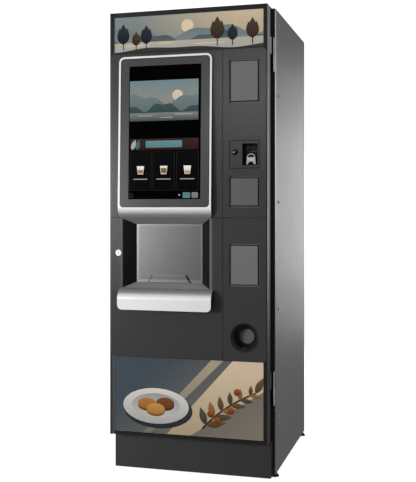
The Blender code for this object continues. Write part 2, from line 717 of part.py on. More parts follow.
def build_fascias(door):
    """Four moulded panels on the door frame, with the cut-outs of what they hold."""
    half = SEAM / 2
    upper, lower = SEAM_Z + half, SEAM_Z - half
    outline = one_round((FASCIA_LEFT, upper), (SEAM_X - half, FASCIA_TOP), FASCIA_CORNER, 3)
    sheet("screen_fascia", [outline], DOOR_Y, FASCIA, "graphite_fascia", door)
    niche_edge = NICHE_WIDTH / 2 + NICHE_WALL + FIT
    niche_left, niche_right = NICHE_X - niche_edge, NICHE_X + niche_edge
    sill = NICHE_BOTTOM - NICHE_WALL - FIT
    outline = [(niche_left, lower), (FASCIA_LEFT, lower)]
    outline += arc((FASCIA_LEFT + FASCIA_CORNER, FASCIA_BOTTOM + FASCIA_CORNER), FASCIA_CORNER, 180, 270)
    outline += [(SEAM_X - half, FASCIA_BOTTOM), (SEAM_X - half, lower), (niche_right, lower)]
    outline += [(niche_right, sill), (niche_left, sill)]
    lock_hole = circle((LOCK_X, LOCK_Z), LOCK_BARREL + FIT)
    sheet("delivery_fascia", [outline, lock_hole], DOOR_Y, FASCIA, "graphite_fascia", door)
    outline = one_round((SEAM_X + half, upper), (FASCIA_RIGHT, FASCIA_TOP), FASCIA_CORNER, 2)
    outlines = [outline, cutout(*UPPER_BLANK), cutout(COIN_PLATE_HEIGHT, COIN_Z), cutout(*MIDDLE_BLANK)]
    sheet("payment_fascia", outlines, DOOR_Y, FASCIA, "graphite_fascia", door)
    outline = one_round((SEAM_X + half, FASCIA_BOTTOM), (FASCIA_RIGHT, lower), FASCIA_CORNER, 1)
    cup_hole = circle((COLUMN_X, CUP_Z), CUP_RADIUS + FIT, 40)
    outlines = [outline, cutout(*LOWER_BLANK), cup_hole]
    sheet("change_fascia", outlines, DOOR_Y, FASCIA, "graphite_fascia", door)


def cutout(height, middle, inset=0.0):
    """Outline of a payment cut-out of some height, about the height of its middle."""
    half_width, half_height = CUTOUT_WIDTH / 2 - inset, height / 2 - inset
    low = (COLUMN_X - half_width, middle - half_height)
    return rounded(low, (COLUMN_X + half_width, middle + half_height), CUTOUT_CORNER)


def pad_edges(height, middle, inset):
    """Left, bottom, right and top edge of a pad inside a payment cut-out."""
    half_width, half_height = CUTOUT_WIDTH / 2 - inset, height / 2 - inset
    return (COLUMN_X - half_width, middle - half_height, COLUMN_X + half_width, middle + half_height)


def build_blanks(door):
    """Plates that close the unused payment cut-outs, each with a bevelled pad that fills its cut-out."""
    for number, (height, middle) in enumerate((UPPER_BLANK, MIDDLE_BLANK, LOWER_BLANK), 1):
        half_width, half_height = CUTOUT_WIDTH / 2 + BLANK_LAP, height / 2 + BLANK_LAP
        low = (COLUMN_X - half_width, BEHIND_FASCIA_Y, middle - half_height)
        high = (COLUMN_X + half_width, BEHIND_FASCIA_Y + BLANK_THICKNESS, middle + half_height)
        plate = block(f"blank_plate_{number}", low, high, "blank_plate", door)
        pad_front, pad_back = (pad_edges(height, middle, inset) for inset in (BLANK_BEVEL, BLANK_GROOVE))
        pad_y = (DOOR_Y + BLANK_SETBACK, BEHIND_FASCIA_Y + BLANK_THICKNESS / 2)
        join(plate, splayed_box(f"blank_pad_{number}", pad_front, pad_back, *pad_y))


def build_screen(door):
    """Silver screen housing with a rolled chin, and the glass let into its leaning face."""
    top, bottom = FASCIA_TOP - SCREEN_TOP_MARGIN, NICHE_TOP
    back = DOOR_Y - FIT
    chin_top = bottom + SCREEN_CHIN
    face_top, face_bottom = DOOR_Y - SCREEN_TOP_REACH, DOOR_Y - SCREEN_CHIN_REACH
    roll = bulged((face_bottom, chin_top), (back, bottom), CHIN_BULGE)
    profile = [(back, top), (face_top, top)] + roll
    left = NICHE_X - SCREEN_WIDTH / 2
    housing = sheet("screen_housing", [profile], left, SCREEN_WIDTH, "silver_paint", door, FACING_SIDE)
    front = (NICHE_X + SCREEN_WIDTH / 2, top)
    trim_to(housing, rounded((left, bottom - CHIN_CORNER_DROP), front, SCREEN_CORNER))
    lean = math.atan2(face_top - face_bottom, top - chin_top)
    low, high = (left + SCREEN_RIM, chin_top), (left + SCREEN_WIDTH - SCREEN_RIM, top - SCREEN_RIM)
    corner = SCREEN_CORNER - SCREEN_RIM
    pocket = sheet("screen_pocket", [rounded(low, high, corner)], -OVERCUT, GLASS_THICKNESS + FIT + OVERCUT)
    outline = rounded((low[0] + FIT, low[1] + FIT), (high[0] - FIT, high[1] - FIT), corner)
    glass = sheet("touch_screen", [outline], 0, GLASS_THICKNESS, "screen_glass", door)
    middle_z = (low[1] + high[1]) / 2
    face_y = face_bottom + (middle_z - chin_top) * math.tan(lean)
    for item, depth in ((pocket, (GLASS_THICKNESS + FIT - OVERCUT) / 2), (glass, GLASS_THICKNESS / 2)):
        item.rotation_euler.x -= lean
        inward = Vector((0, math.cos(lean), -math.sin(lean))) * depth
        item.location = Vector((NICHE_X, face_y, middle_z)) + inward - origin_of(item.parent)
    cut(housing, pocket)


def bulged(start, end, bulge, steps=10):
    """Points from start to end on an arch that bows out, away from the corner on the door."""
    points = []
    for i in range(steps + 1):
        share, turn = i / steps, math.pi / 2 * i / steps
        across = bulge * (1 - math.cos(turn)) + (1 - bulge) * share
        along = bulge * math.sin(turn) + (1 - bulge) * share
        points.append((start[0] + (end[0] - start[0]) * across, start[1] + (end[1] - start[1]) * along))
    return points


def build_delivery(door):
    """Splayed niche with hatch rails, and the tray lip that rolls out below it."""
    front = [NICHE_X - NICHE_WIDTH / 2, NICHE_BOTTOM, NICHE_X + NICHE_WIDTH / 2, NICHE_TOP]
    splay = (NICHE_SIDE_SPLAY, NICHE_FLOOR_SPLAY, -NICHE_SIDE_SPLAY, -NICHE_TOP_SPLAY)
    wall = (-NICHE_WALL, -NICHE_WALL, NICHE_WALL, NICHE_WALL)
    back = [edge + shift for edge, shift in zip(front, splay)]
    outer_front = [edge + shift for edge, shift in zip(front, wall)]
    outer_back = [edge + shift for edge, shift in zip(back, wall)]
    back_y = DOOR_Y + NICHE_DEPTH
    niche = splayed_box("delivery_niche", outer_front, outer_back, DOOR_Y, back_y, "gloss_black", door)
    share = OVERCUT / NICHE_DEPTH
    cut_front = [edge - shift * share for edge, shift in zip(front, splay)]
    cut_back = [edge + shift * share for edge, shift in zip(back, splay)]
    opening = splayed_box("niche_opening", cut_front, cut_back, DOOR_Y - OVERCUT, back_y + OVERCUT)
    rail_top = HATCH_TOP + HATCH_TRAVEL + RAIL_STOP
    for side in (-1, 1):
        edge = NICHE_X + side * HATCH_HALF
        outer, inner = edge + side * (RAIL_WIDTH - RAIL_LIP), edge - side * RAIL_LIP
        low_x, high_x = sorted((outer, inner))
        rail_low = (low_x, back_y - RAIL_LIP, HATCH_BOTTOM - RAIL_STOP)
        rail_high = (high_x, HATCH_Y + HATCH_THICKNESS + FIT + RAIL_LIP, rail_top)
        join(niche, block(f"hatch_rail_{side}", rail_low, rail_high))
    groove_low = (NICHE_X - HATCH_HALF - FIT, HATCH_Y - FIT, HATCH_BOTTOM - FIT)
    groove_high = (NICHE_X + HATCH_HALF + FIT, HATCH_Y + HATCH_THICKNESS + FIT, rail_top + OVERCUT)
    cut(niche, opening, block("hatch_groove", groove_low, groove_high))
    face_z = NICHE_BOTTOM - TRAY_ROLL
    lip = bulged((DOOR_Y - TRAY_REACH, face_z), (DOOR_Y - FIT, NICHE_BOTTOM), TRAY_BULGE)
    tray_bottom = NICHE_BOTTOM - TRAY_HEIGHT
    profile = [(DOOR_Y - FIT, tray_bottom), (DOOR_Y - TRAY_REACH, tray_bottom)] + lip
    tray_x = NICHE_X + TRAY_SHIFT
    left, right = tray_x - SCREEN_WIDTH / 2, tray_x + SCREEN_WIDTH / 2
    tray = sheet("delivery_tray", [profile], left, SCREEN_WIDTH, "silver_paint", door, FACING_SIDE)
    trim_to(tray, rounded((left, tray_bottom), (right, NICHE_BOTTOM + TRAY_CORNER), TRAY_CORNER))


def build_hatch(door):
    """Clear hatch that slides up in the rails, with a grip bar along its foot."""
    middle = (HATCH_BOTTOM + HATCH_TOP) / 2
    pivot = new_pivot("hatch", (NICHE_X, HATCH_Y, middle), door)
    low = (NICHE_X - HATCH_HALF, HATCH_Y, HATCH_BOTTOM)
    high = (NICHE_X + HATCH_HALF, HATCH_Y + HATCH_THICKNESS, HATCH_TOP)
    hatch = block("hatch", low, high, "clear_hatch", pivot)
    half, foot = GRIP_WIDTH / 2, HATCH_BOTTOM + HATCH_LAP + FIT
    short, head = half - GRIP_TAPER, foot + GRIP_HEIGHT
    corners = [(-half, foot), (half, foot), (short, head), (-short, head)]
    outline = [(NICHE_X + x, z) for x, z in corners]
    join(hatch, sheet("hatch_grip", [outline], HATCH_Y - GRIP_REACH, GRIP_REACH + HATCH_THICKNESS / 2))


def build_coin_plate(door):
    """Coin plate, validator with its window pocket, chrome entry and return button."""
    window_low = (WINDOW_X - WINDOW_WIDTH / 2, COIN_Z - WINDOW_HEIGHT / 2)
    window_high = (WINDOW_X + WINDOW_WIDTH / 2, COIN_Z + WINDOW_HEIGHT / 2)
    plate = cutout(COIN_PLATE_HEIGHT, COIN_Z, COIN_PLATE_GAP)
    window = rounded(window_low, window_high, CUTOUT_CORNER)
    button_hole = circle((BUTTON_X, BUTTON_Z), BUTTON_RADIUS + FIT)
    sheet("coin_plate", [plate, window, button_hole], DOOR_Y, FASCIA, "graphite_fascia", door)
    wall, validator_back = VALIDATOR_WALL, BEHIND_FASCIA_Y + VALIDATOR_DEPTH
    low = (window_low[0] - wall, BEHIND_FASCIA_Y, window_low[1] - wall)
    high = (window_high[0] + wall, validator_back, window_high[1] + wall)
    validator = block("coin_validator", low, high, "gloss_black", door)
    pocket_back = BEHIND_FASCIA_Y + WINDOW_POCKET
    pocket_low = (window_low[0], BEHIND_FASCIA_Y - OVERCUT, window_low[1])
    cut(validator, block("window_pocket", pocket_low, (window_high[0], pocket_back, window_high[1])))
    foot, half = window_low[1] + ENTRY_RISE, ENTRY_WIDTH / 2
    arch_radius = half - ENTRY_SPLAY
    arch = arc((WINDOW_X, foot + ENTRY_HEIGHT - arch_radius), arch_radius, 0, 180, 2 * CORNER_STEPS)
    outline = [(WINDOW_X - half, foot), (WINDOW_X - ENTRY_NOTCH, foot)]
    outline += [(WINDOW_X - ENTRY_NOTCH / 2, foot + ENTRY_NOTCH_RISE)]
    outline += [(WINDOW_X + ENTRY_NOTCH / 2, foot + ENTRY_NOTCH_RISE)]
    outline += [(WINDOW_X + ENTRY_NOTCH, foot), (WINDOW_X + half, foot)]
    outline += [(WINDOW_X + half - ENTRY_SPLAY, foot + ENTRY_SHOULDER)] + arch
    outline += [(WINDOW_X - half + ENTRY_SPLAY, foot + ENTRY_SHOULDER)]
    entry_y = pocket_back - FIT - ENTRY_DEPTH
    entry = sheet("coin_entry", [outline], entry_y, ENTRY_DEPTH, "chrome", door)
    hood = arch_radius - ENTRY_HOOD
    start = math.degrees(math.asin(COIN_SLOT_RISE / hood))
    slot = arc((WINDOW_X, foot + ENTRY_HEIGHT - arch_radius), hood, start, 180 - start, 2 * CORNER_STEPS)
    cut(entry, sheet("coin_slot", [slot], entry_y - OVERCUT, COIN_SLOT_DEPTH + OVERCUT))
    pivot = new_pivot("return_button", (BUTTON_X, DOOR_Y, BUTTON_Z), door)
    flange = BUTTON_RADIUS + BUTTON_FLANGE
    shoulder = FASCIA + FIT
    profile = [(0, shoulder + BUTTON_FLANGE), (flange, shoulder + BUTTON_FLANGE), (flange, shoulder)]
    profile.append((BUTTON_RADIUS, shoulder))
    for x, height in arc((0, 0), 1, 0, 90):
        profile.append((BUTTON_RADIUS * x, -BUTTON_REACH * height))
    profile[-1] = (0, -BUTTON_REACH)
    place = (BUTTON_X, DOOR_Y, BUTTON_Z)
    turned("return_button", profile, place, "gloss_black", pivot, "Y", steps=ROUND_SIDES)


def build_coin_cup(door):
    """Round coin-return cup with a stepped throat, and the flap at its back."""
    place = (COLUMN_X, DOOR_Y, CUP_Z)
    flange = FASCIA + FIT
    back = CUP_DEPTH + CUP_WALL
    way = FLAP_RADIUS + FLAP_GAP
    profile = [(way, back), (CUP_THROAT, back), (CUP_THROAT + CUP_WALL, CUP_THROAT_DEPTH)]
    profile += [(CUP_RADIUS + CUP_FLANGE, flange + CUP_WALL), (CUP_RADIUS + CUP_FLANGE, flange)]
    profile += [(CUP_RADIUS, flange), (CUP_RADIUS, 0), (CUP_RADIUS - CUP_WALL, 0)]
    profile += [(CUP_THROAT, CUP_THROAT_DEPTH), (CUP_THROAT - CUP_WALL, CUP_DEPTH), (way, CUP_DEPTH)]
    turned("coin_cup", profile, place, "gloss_black", door, "Y", closed=True, steps=40)
    flap_y = DOOR_Y + CUP_DEPTH + CUP_WALL / 2
    hinge_z = CUP_Z + FLAP_RADIUS - FLAP_HINGE_DROP
    pivot = new_pivot("coin_flap", (COLUMN_X, flap_y, hinge_z), door)
    half = FLAP_THICKNESS / 2
    start, end = (COLUMN_X, flap_y - half, CUP_Z), (COLUMN_X, flap_y + half, CUP_Z)
    rod("coin_flap", start, end, FLAP_RADIUS, "blank_plate", pivot, sides=40)


def build_lock(door):
    """Cam lock: a rosette in the fascia, and a core whose cam turns in behind the front frame."""
    bore, edge = LOCK_CORE + FIT, LOCK_REACH / 2
    profile = [(bore, LOCK_BARREL_DEPTH), (LOCK_BARREL, LOCK_BARREL_DEPTH), (LOCK_BARREL, -FIT)]
    profile += [(LOCK_RADIUS, -FIT), (LOCK_RADIUS, -edge)]
    profile += [(LOCK_RADIUS - edge, -LOCK_REACH), (bore, -LOCK_REACH)]
    place = (LOCK_X, DOOR_Y, LOCK_Z)
    turned("lock_rosette", profile, place, "chrome", door, "Y", closed=True, steps=ROUND_SIDES)
    pivot = new_pivot("lock", place, door)
    cam_y = CABINET_Y + CAM_SETBACK
    start = (LOCK_X, DOOR_Y - LOCK_REACH, LOCK_Z)
    core = rod("lock_core", start, (LOCK_X, cam_y + CAM_THICKNESS, LOCK_Z), LOCK_CORE, "chrome", pivot)
    cam_low = (LOCK_X - CAM_WIDTH / 2, cam_y, LOCK_Z - CAM_LENGTH)
    cam_high = (LOCK_X + CAM_WIDTH / 2, cam_y + CAM_THICKNESS, LOCK_Z + CAM_WIDTH / 2)
    join(core, block("lock_cam", cam_low, cam_high))
    slot_low = (LOCK_X - KEY_SLOT_WIDTH / 2, start[1] - OVERCUT, LOCK_Z - KEY_SLOT_LENGTH / 2)
    slot_high = (LOCK_X + KEY_SLOT_WIDTH / 2, start[1] + KEY_SLOT_DEPTH, LOCK_Z + KEY_SLOT_LENGTH / 2)
    cut(core, block("key_slot", slot_low, slot_high))


def build_racks():
    """Module wall across the cabinet, with the canister shelf and the cup shelf in front of it."""
    wall_top = HEIGHT - WALL_HEADROOM
    block("module_wall", (-BAY_X, WALL_Y, WALL_BOTTOM), (BAY_X, WALL_Y + PLATE, wall_top), "zinc")
    low = (-BAY_X, CABINET_Y + SHELF_SETBACK, SHELF_Z)
    shelf = block("canister_shelf", low, (BAY_X, WALL_Y - FIT, SHELF_TOP), "zinc")
    way_low, way_high = (BREW_X, BREW_Y, SHELF_Z - OVERCUT), (BREW_X, BREW_Y, SHELF_TOP + OVERCUT)
    cut(shelf, rod("shelf_throat", way_low, way_high, THROAT_RADIUS))
    low = (NICHE_X - HATCH_HALF, CABINET_Y + CUP_SHELF_SETBACK, CUP_SHELF_Z)
    block("cup_shelf", low, (NICHE_X + HATCH_HALF, WALL_Y - FIT, CUP_SHELF_Z + PLATE), "zinc")


def build_canister(number, offset):
    """Powder canister with a spout over the shelf's edge, and the auger that empties it."""
    x = HALF_WIDTH - offset
    floor = SHELF_TOP + FIT
    front, back = CABINET_Y + CANISTER_SETBACK, WALL_Y - 2 * AUGER_SHAFT
    half = CANISTER_WIDTH / 2
    low, high = (x - half, front, floor), (x + half, back, floor + CANISTER_HEIGHT)
    canister = block(f"canister_{number}", low, high, "white_plastic")
    spout_end = (x, front - SPOUT_REACH, AUGER_Z)
    join(canister, rod(f"spout_{number}", spout_end, (x, front + CANISTER_WALL / 2, AUGER_Z), SPOUT_RADIUS))
    inside_low = [value + CANISTER_WALL for value in low]
    inside_high = (high[0] - CANISTER_WALL, high[1] - CANISTER_WALL, high[2] + OVERCUT)
    way_start = (x, front - SPOUT_REACH - OVERCUT, AUGER_Z)
    way = rod(f"spout_way_{number}", way_start, (x, front + CANISTER_WALL + OVERCUT, AUGER_Z), SPOUT_BORE)
    hole_start = (x, back - CANISTER_WALL - OVERCUT, AUGER_Z)
    hole = rod(f"shaft_hole_{number}", hole_start, (x, back + OVERCUT, AUGER_Z), AUGER_SHAFT + FIT)
    cut(canister, block(f"canister_inside_{number}", inside_low, inside_high), way, hole)
    pivot = new_pivot(f"auger_{number}", (x, front, AUGER_Z))
    shaft_end = (x, back + AUGER_SHAFT, AUGER_Z)
    auger = rod(f"auger_{number}", spout_end, shaft_end, AUGER_SHAFT, "white_plastic", pivot, sides=12)
    flight_end = back - CANISTER_WALL - 2 * FIT - AUGER_FLIGHT
    join(auger, flight(f"flight_{number}", spout_end, flight_end - spout_end[1] - AUGER_FLIGHT))


def flight(name, start, length):
    """Helical blade along +Y, from a rectangle that turns and climbs round the axis."""
    steps = round(length / AUGER_PITCH * AUGER_STEPS)
    inner, half = AUGER_SHAFT / 2, AUGER_FLIGHT / 2
    shape = bmesh.new()
    corners = [(inner, 0, -half), (AUGER_RADIUS, 0, -half), (AUGER_RADIUS, 0, half), (inner, 0, half)]
    face = shape.faces.new([shape.verts.new(corner) for corner in corners])
    geometry = [*face.verts, *face.edges, face]
    turn = 2 * math.pi * steps / AUGER_STEPS
    rise = (0, 0, length / steps)
    bmesh.ops.spin(shape, geom=geometry, axis=(0, 0, 1), cent=(0, 0, 0), dvec=rise, angle=turn, steps=steps)
    bmesh.ops.recalc_face_normals(shape, faces=shape.faces)
    place = Vector(start) + Vector((0, AUGER_FLIGHT, 0))
    return new_object(name, mesh_of(name, shape), None, place, AXIS_TURN["Y"])


def build_brew_line():
    """Bean hopper on the shelf, grinder under it, and the brewer with its piston below."""
    floor = SHELF_TOP + FIT
    low = (BREW_X - HOPPER_WIDTH / 2, CABINET_Y + CANISTER_SETBACK, floor)
    high = (BREW_X + HOPPER_WIDTH / 2, WALL_Y - FIT, floor + HOPPER_HEIGHT)
    hopper = open_box("bean_hopper", low, high, HOPPER_WALL, "smoked_plastic")
    throat_low, throat_high = (BREW_X, BREW_Y, floor - OVERCUT), (BREW_X, BREW_Y, floor + 2 * OVERCUT)
    cut(hopper, rod("hopper_throat", throat_low, throat_high, THROAT_RADIUS))
    top, neck, inlet = GRINDER_TOP, GRINDER_TOP - GRINDER_NECK_HEIGHT, GRINDER_TOP - GRINDER_INLET
    profile = [(0, inlet), (THROAT_RADIUS, inlet), (THROAT_RADIUS, top), (GRINDER_NECK, top)]
    profile += [(GRINDER_NECK, neck), (GRINDER_RADIUS, neck)]
    profile += [(GRINDER_RADIUS, GRINDER_BOTTOM), (0, GRINDER_BOTTOM)]
    turned("grinder", profile, (BREW_X, BREW_Y, 0), "zinc")
    half, back = BREWER_WIDTH / 2, WALL_Y - FIT
    low, high = (BREW_X - half, back - BREWER_PLATE, BREWER_Z), (BREW_X + half, back, BREWER_TOP)
    brewer = block("brewer_frame", low, high, "white_plastic")
    chamber_top, chamber_floor = BREWER_Z + CHAMBER_HEIGHT, BREWER_Z + CHAMBER_FLOOR
    chamber = rod("chamber", (BREW_X, BREW_Y, BREWER_Z), (BREW_X, BREW_Y, chamber_top), CHAMBER_RADIUS)
    into_plate = back - BREWER_PLATE / 2
    arm_low, arm_high = (BREW_X - half, BREW_Y, BREWER_Z), (BREW_X + half, into_plate, chamber_floor)
    bridge_low = (BREW_X - half, BREW_Y - 2 * PISTON_ROD, BREWER_TOP - BREWER_PLATE)
    bridge = block("brewer_bridge", bridge_low, (BREW_X + half, into_plate, BREWER_TOP))
    join(brewer, chamber, block("brewer_arm", arm_low, arm_high), bridge)
    bore_low = (BREW_X, BREW_Y, chamber_floor)
    bore = rod("chamber_bore", bore_low, (BREW_X, BREW_Y, chamber_top + OVERCUT), CHAMBER_BORE)
    guide_low = (BREW_X, BREW_Y, BREWER_TOP - BREWER_PLATE - OVERCUT)
    guide = rod("piston_guide", guide_low, (BREW_X, BREW_Y, BREWER_TOP + OVERCUT), PISTON_ROD + FIT)
    cut(brewer, bore, guide)
    head = chamber_floor + PISTON_LIFT
    rod_top = BREWER_TOP + BREWER_PLATE
    radius = CHAMBER_BORE - PISTON_GAP
    profile = [(0, rod_top), (PISTON_ROD, rod_top), (PISTON_ROD, head + PISTON_HEIGHT)]
    profile += [(radius, head + PISTON_HEIGHT), (radius, head), (0, head)]
    pivot = new_pivot("brew_piston", (BREW_X, BREW_Y, head))
    turned("brew_piston", profile, (BREW_X, BREW_Y, 0), "white_plastic", pivot, steps=ROUND_SIDES)


def build_mixer():
    """Mixing bowl on an arm from the wall, and the whisk that turns in its throat."""
    x, y = HALF_WIDTH - BOWL_OFFSET, CABINET_Y + BOWL_SETBACK
    wall, throat_top, top = BOWL_WALL, BOWL_BOTTOM + BOWL_THROAT_HEIGHT, BOWL_BOTTOM + BOWL_HEIGHT
    hole = WHISK_SHAFT + FIT
    profile = [(BOWL_RADIUS, top), (BOWL_THROAT, throat_top), (BOWL_THROAT, BOWL_BOTTOM)]
    profile += [(hole, BOWL_BOTTOM), (hole, BOWL_BOTTOM + wall), (BOWL_THROAT - wall, BOWL_BOTTOM + wall)]
    profile += [(BOWL_THROAT - wall, throat_top + wall), (BOWL_RADIUS - wall, top)]
    bowl = turned("mixing_bowl", profile, (x, y, 0), "white_plastic", closed=True)
    arm_low = (x - BOWL_ARM / 2, y + BOWL_THROAT - wall / 2, BOWL_BOTTOM)
    join(bowl, block("bowl_arm", arm_low, (x + BOWL_ARM / 2, WALL_Y - FIT, throat_top - wall)))
    pivot = new_pivot("whisk", (x, y, BOWL_BOTTOM))
    disc = BOWL_BOTTOM + wall + FIT
    start, end = (x, y, BOWL_BOTTOM - WHISK_STUB), (x, y, disc + WHISK_DISC + WHISK_BLADE)
    whisk = rod("whisk", start, end, WHISK_SHAFT, "white_plastic", pivot, sides=16)
    join(whisk, rod("whisk_disc", (x, y, disc), (x, y, disc + WHISK_DISC), WHISK_RADIUS))
    thin = WHISK_SHAFT / 2
    long, blade_top = WHISK_RADIUS - thin, disc + WHISK_DISC + WHISK_BLADE - FIT
    for half_x, half_y in ((long, thin), (thin, long)):
        low = (x - half_x, y - half_y, disc + WHISK_DISC / 2)
        join(whisk, block("whisk_blade", low, (x + half_x, y + half_y, blade_top)))


def build_cup_column():
    """Cup column on its wall arm, with the drop ring that turns on the flange at its foot."""
    x, y = NICHE_X, CABINET_Y + COLUMN_SETBACK
    outer, bottom = COLUMN_BORE + COLUMN_WALL, COLUMN_BOTTOM
    shelf, top = bottom + COLUMN_FLANGE_HEIGHT, bottom + COLUMN_HEIGHT
    flange = outer + COLUMN_FLANGE
    profile = [(outer, top), (outer, shelf), (flange, shelf), (flange, bottom)]
    profile += [(COLUMN_BORE, bottom), (COLUMN_BORE, top)]
    column = turned("cup_column", profile, (x, y, 0), "smoked_plastic", closed=True)
    arm_z = SHELF_TOP + COLUMN_ARM_RISE
    arm_low = (x - COLUMN_ARM / 2, y + COLUMN_BORE + COLUMN_WALL / 2, arm_z)
    arm_high = (x + COLUMN_ARM / 2, WALL_Y - FIT, arm_z + COLUMN_ARM_HEIGHT)
    join(column, block("column_arm", arm_low, arm_high))
    pivot = new_pivot("cup_drop_ring", (x, y, shelf))
    inner, foot = outer + FIT, shelf + FIT
    rim = inner + RING_WIDTH
    profile = [(rim, foot + RING_HEIGHT), (rim, foot), (inner, foot), (inner, foot + RING_HEIGHT)]
    ring = turned("cup_drop_ring", profile, (x, y, 0), "white_plastic", pivot, closed=True)
    for number in range(RING_LUGS):
        angle = 2 * math.pi * number / RING_LUGS
        way = Vector((math.cos(angle), math.sin(angle), 0))
        middle = Vector((x, y, foot + RING_HEIGHT / 2))
        start, end = middle + way * (rim - RING_LUG / 2), middle + way * (rim + RING_LUG)
        join(ring, rod(f"ring_lug_{number}", start, end, RING_LUG / 2, sides=12))


def build_nozzles():
    back = WALL_Y - FIT
    top, front = NOZZLE_Z + NOZZLE_LENGTH, CABINET_Y + NOZZLE_SETBACK
    low = (NICHE_X - NOZZLE_BLOCK_WIDTH / 2, front - NOZZLE_BLOCK_LIP, top)
    high = (NICHE_X + NOZZLE_BLOCK_WIDTH / 2, back, top + NOZZLE_BLOCK_HEIGHT)
    nozzles = block("nozzle_block", low, high, "white_plastic")
    for number in range(NOZZLE_COUNT):
        x = NICHE_X + (number - (NOZZLE_COUNT - 1) / 2) * NOZZLE_PITCH
        tube = rod(f"nozzle_{number}", (x, front, NOZZLE_Z), (x, front, top + FIT), NOZZLE_RADIUS, sides=12)
        join(nozzles, tube)


def build_base_modules():
    """Waste bucket on the base, boiler behind the wall, and the service plate at the back."""
    floor, front = FLOOR_CLEARANCE + SHEET + FIT, CABINET_Y + BUCKET_SETBACK
    half, back = HALF_WIDTH - BUCKET_SIDE_MARGIN, front + BUCKET_DEPTH
    high = (half, back, floor + BUCKET_HEIGHT)
    open_box("waste_bucket", (-half, front, floor), high, BUCKET_WALL, "smoked_plastic")
    wall_back = WALL_Y + PLATE + FIT
    x, y, top = HALF_WIDTH - BOILER_OFFSET, wall_back + BOILER_STANDOFF, BOILER_Z + BOILER_HEIGHT
    boiler = rod("boiler", (x, y, BOILER_Z), (x, y, top), BOILER_RADIUS, "zinc", sides=32)
    bracket_low = (x - BOILER_BRACKET / 2, wall_back, BOILER_Z + BOILER_BRACKET)
    bracket_high = (x + BOILER_BRACKET / 2, y, top - BOILER_BRACKET)
    join(boiler, block("boiler_bracket", bracket_low, bracket_high))
    outside, x = BACK_Y - BACK_INSET + FIT, HALF_WIDTH - SERVICE_OFFSET
    low = (x - SERVICE_WIDTH / 2, outside, SERVICE_Z - SERVICE_HEIGHT / 2)
    high = (x + SERVICE_WIDTH / 2, outside + SERVICE_PLATE, SERVICE_Z + SERVICE_HEIGHT / 2)
    plate = block("service_plate", low, high, "zinc")
    mains_x, water_x, end = x - INLET_SPREAD, x + INLET_SPREAD, outside + INLET_DEPTH
    low = (mains_x - MAINS_WIDTH / 2, outside + SERVICE_PLATE / 2, SERVICE_Z - MAINS_HEIGHT / 2)
    high = (mains_x + MAINS_WIDTH / 2, end, SERVICE_Z + MAINS_HEIGHT / 2)
    root = (water_x, outside + SERVICE_PLATE / 2, SERVICE_Z)
    water = rod("water_inlet", root, (water_x, end, SERVICE_Z), WATER_RADIUS)
    join(plate, block("mains_inlet", low, high), water)
    socket_low = (low[0] + MAINS_WALL, outside + SERVICE_PLATE, low[2] + MAINS_WALL)
    socket = block("mains_socket", socket_low, (high[0] - MAINS_WALL, end + OVERCUT, high[2] - MAINS_WALL))
    bore_start = (water_x, outside + SERVICE_PLATE, SERVICE_Z)
    cut(plate, socket, rod("water_bore", bore_start, (water_x, end + OVERCUT, SERVICE_Z), WATER_BORE))


def build_door():
    door = new_pivot("door", (HINGE_X, HINGE_Y, DOOR_BOTTOM))
    build_hinge("upper", HEIGHT - UPPER_HINGE_DROP, door)
    build_hinge("lower", DOOR_BOTTOM + LOWER_HINGE_RISE, door)
    build_door_shell(door)
    build_fascias(door)
    build_blanks(door)
    build_screen(door)
    build_delivery(door)
    build_hatch(door)
    build_coin_plate(door)
    build_coin_cup(door)
    build_lock(door)


def build_modules():
    build_racks()
    for number in range(CANISTER_COUNT):
        build_canister(number + 1, CANISTER_OFFSET + number * CANISTER_PITCH)
    build_brew_line()
    build_mixer()
    build_cup_column()
    build_nozzles()
    build_base_modules()


build_shell()
build_feet()
build_door()
build_modules()
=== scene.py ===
"""Looks of a hot drink vending machine: finishes, screen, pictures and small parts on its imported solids.

Metres in the frame's own axes: +Z up, the front faces -Y. Run as a script.
"""

import math

import bmesh
import bpy
from bpy.props import FloatProperty, FloatVectorProperty, IntProperty, PointerProperty
from bpy.types import Operator, Panel, PropertyGroup
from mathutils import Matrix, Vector


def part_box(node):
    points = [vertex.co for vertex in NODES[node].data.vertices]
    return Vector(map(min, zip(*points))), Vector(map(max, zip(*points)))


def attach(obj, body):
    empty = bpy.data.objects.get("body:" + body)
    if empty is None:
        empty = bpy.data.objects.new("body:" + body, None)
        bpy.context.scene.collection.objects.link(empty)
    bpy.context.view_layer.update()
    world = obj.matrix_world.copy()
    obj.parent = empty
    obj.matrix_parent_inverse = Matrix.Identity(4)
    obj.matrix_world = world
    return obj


bl_info = {
    "name": "Drink Machine Looks",
    "version": (1, 0, 0),
    "blender": (4, 5, 0),
    "location": "View3D > Sidebar > Drink Machine",
    "description": "Finishes and small parts for the solids of a hot drink vending machine",
    "category": "Object",
}

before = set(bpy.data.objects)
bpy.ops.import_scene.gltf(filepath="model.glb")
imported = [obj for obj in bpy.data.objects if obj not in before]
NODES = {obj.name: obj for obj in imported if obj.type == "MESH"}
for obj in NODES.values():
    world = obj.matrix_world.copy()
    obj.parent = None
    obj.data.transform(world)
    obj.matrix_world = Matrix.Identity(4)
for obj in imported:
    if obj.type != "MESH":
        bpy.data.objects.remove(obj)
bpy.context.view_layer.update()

# Camera of the photograph: place, turn to the left in degrees, and the shift that lifts the horizon
CAMERA_PLACE = (0.967, -3.563, 1.035)
CAMERA_TURN = 15.579
CAMERA_LENS = 63.94
CAMERA_SENSOR = 36.0
CAMERA_SHIFT = -0.05896

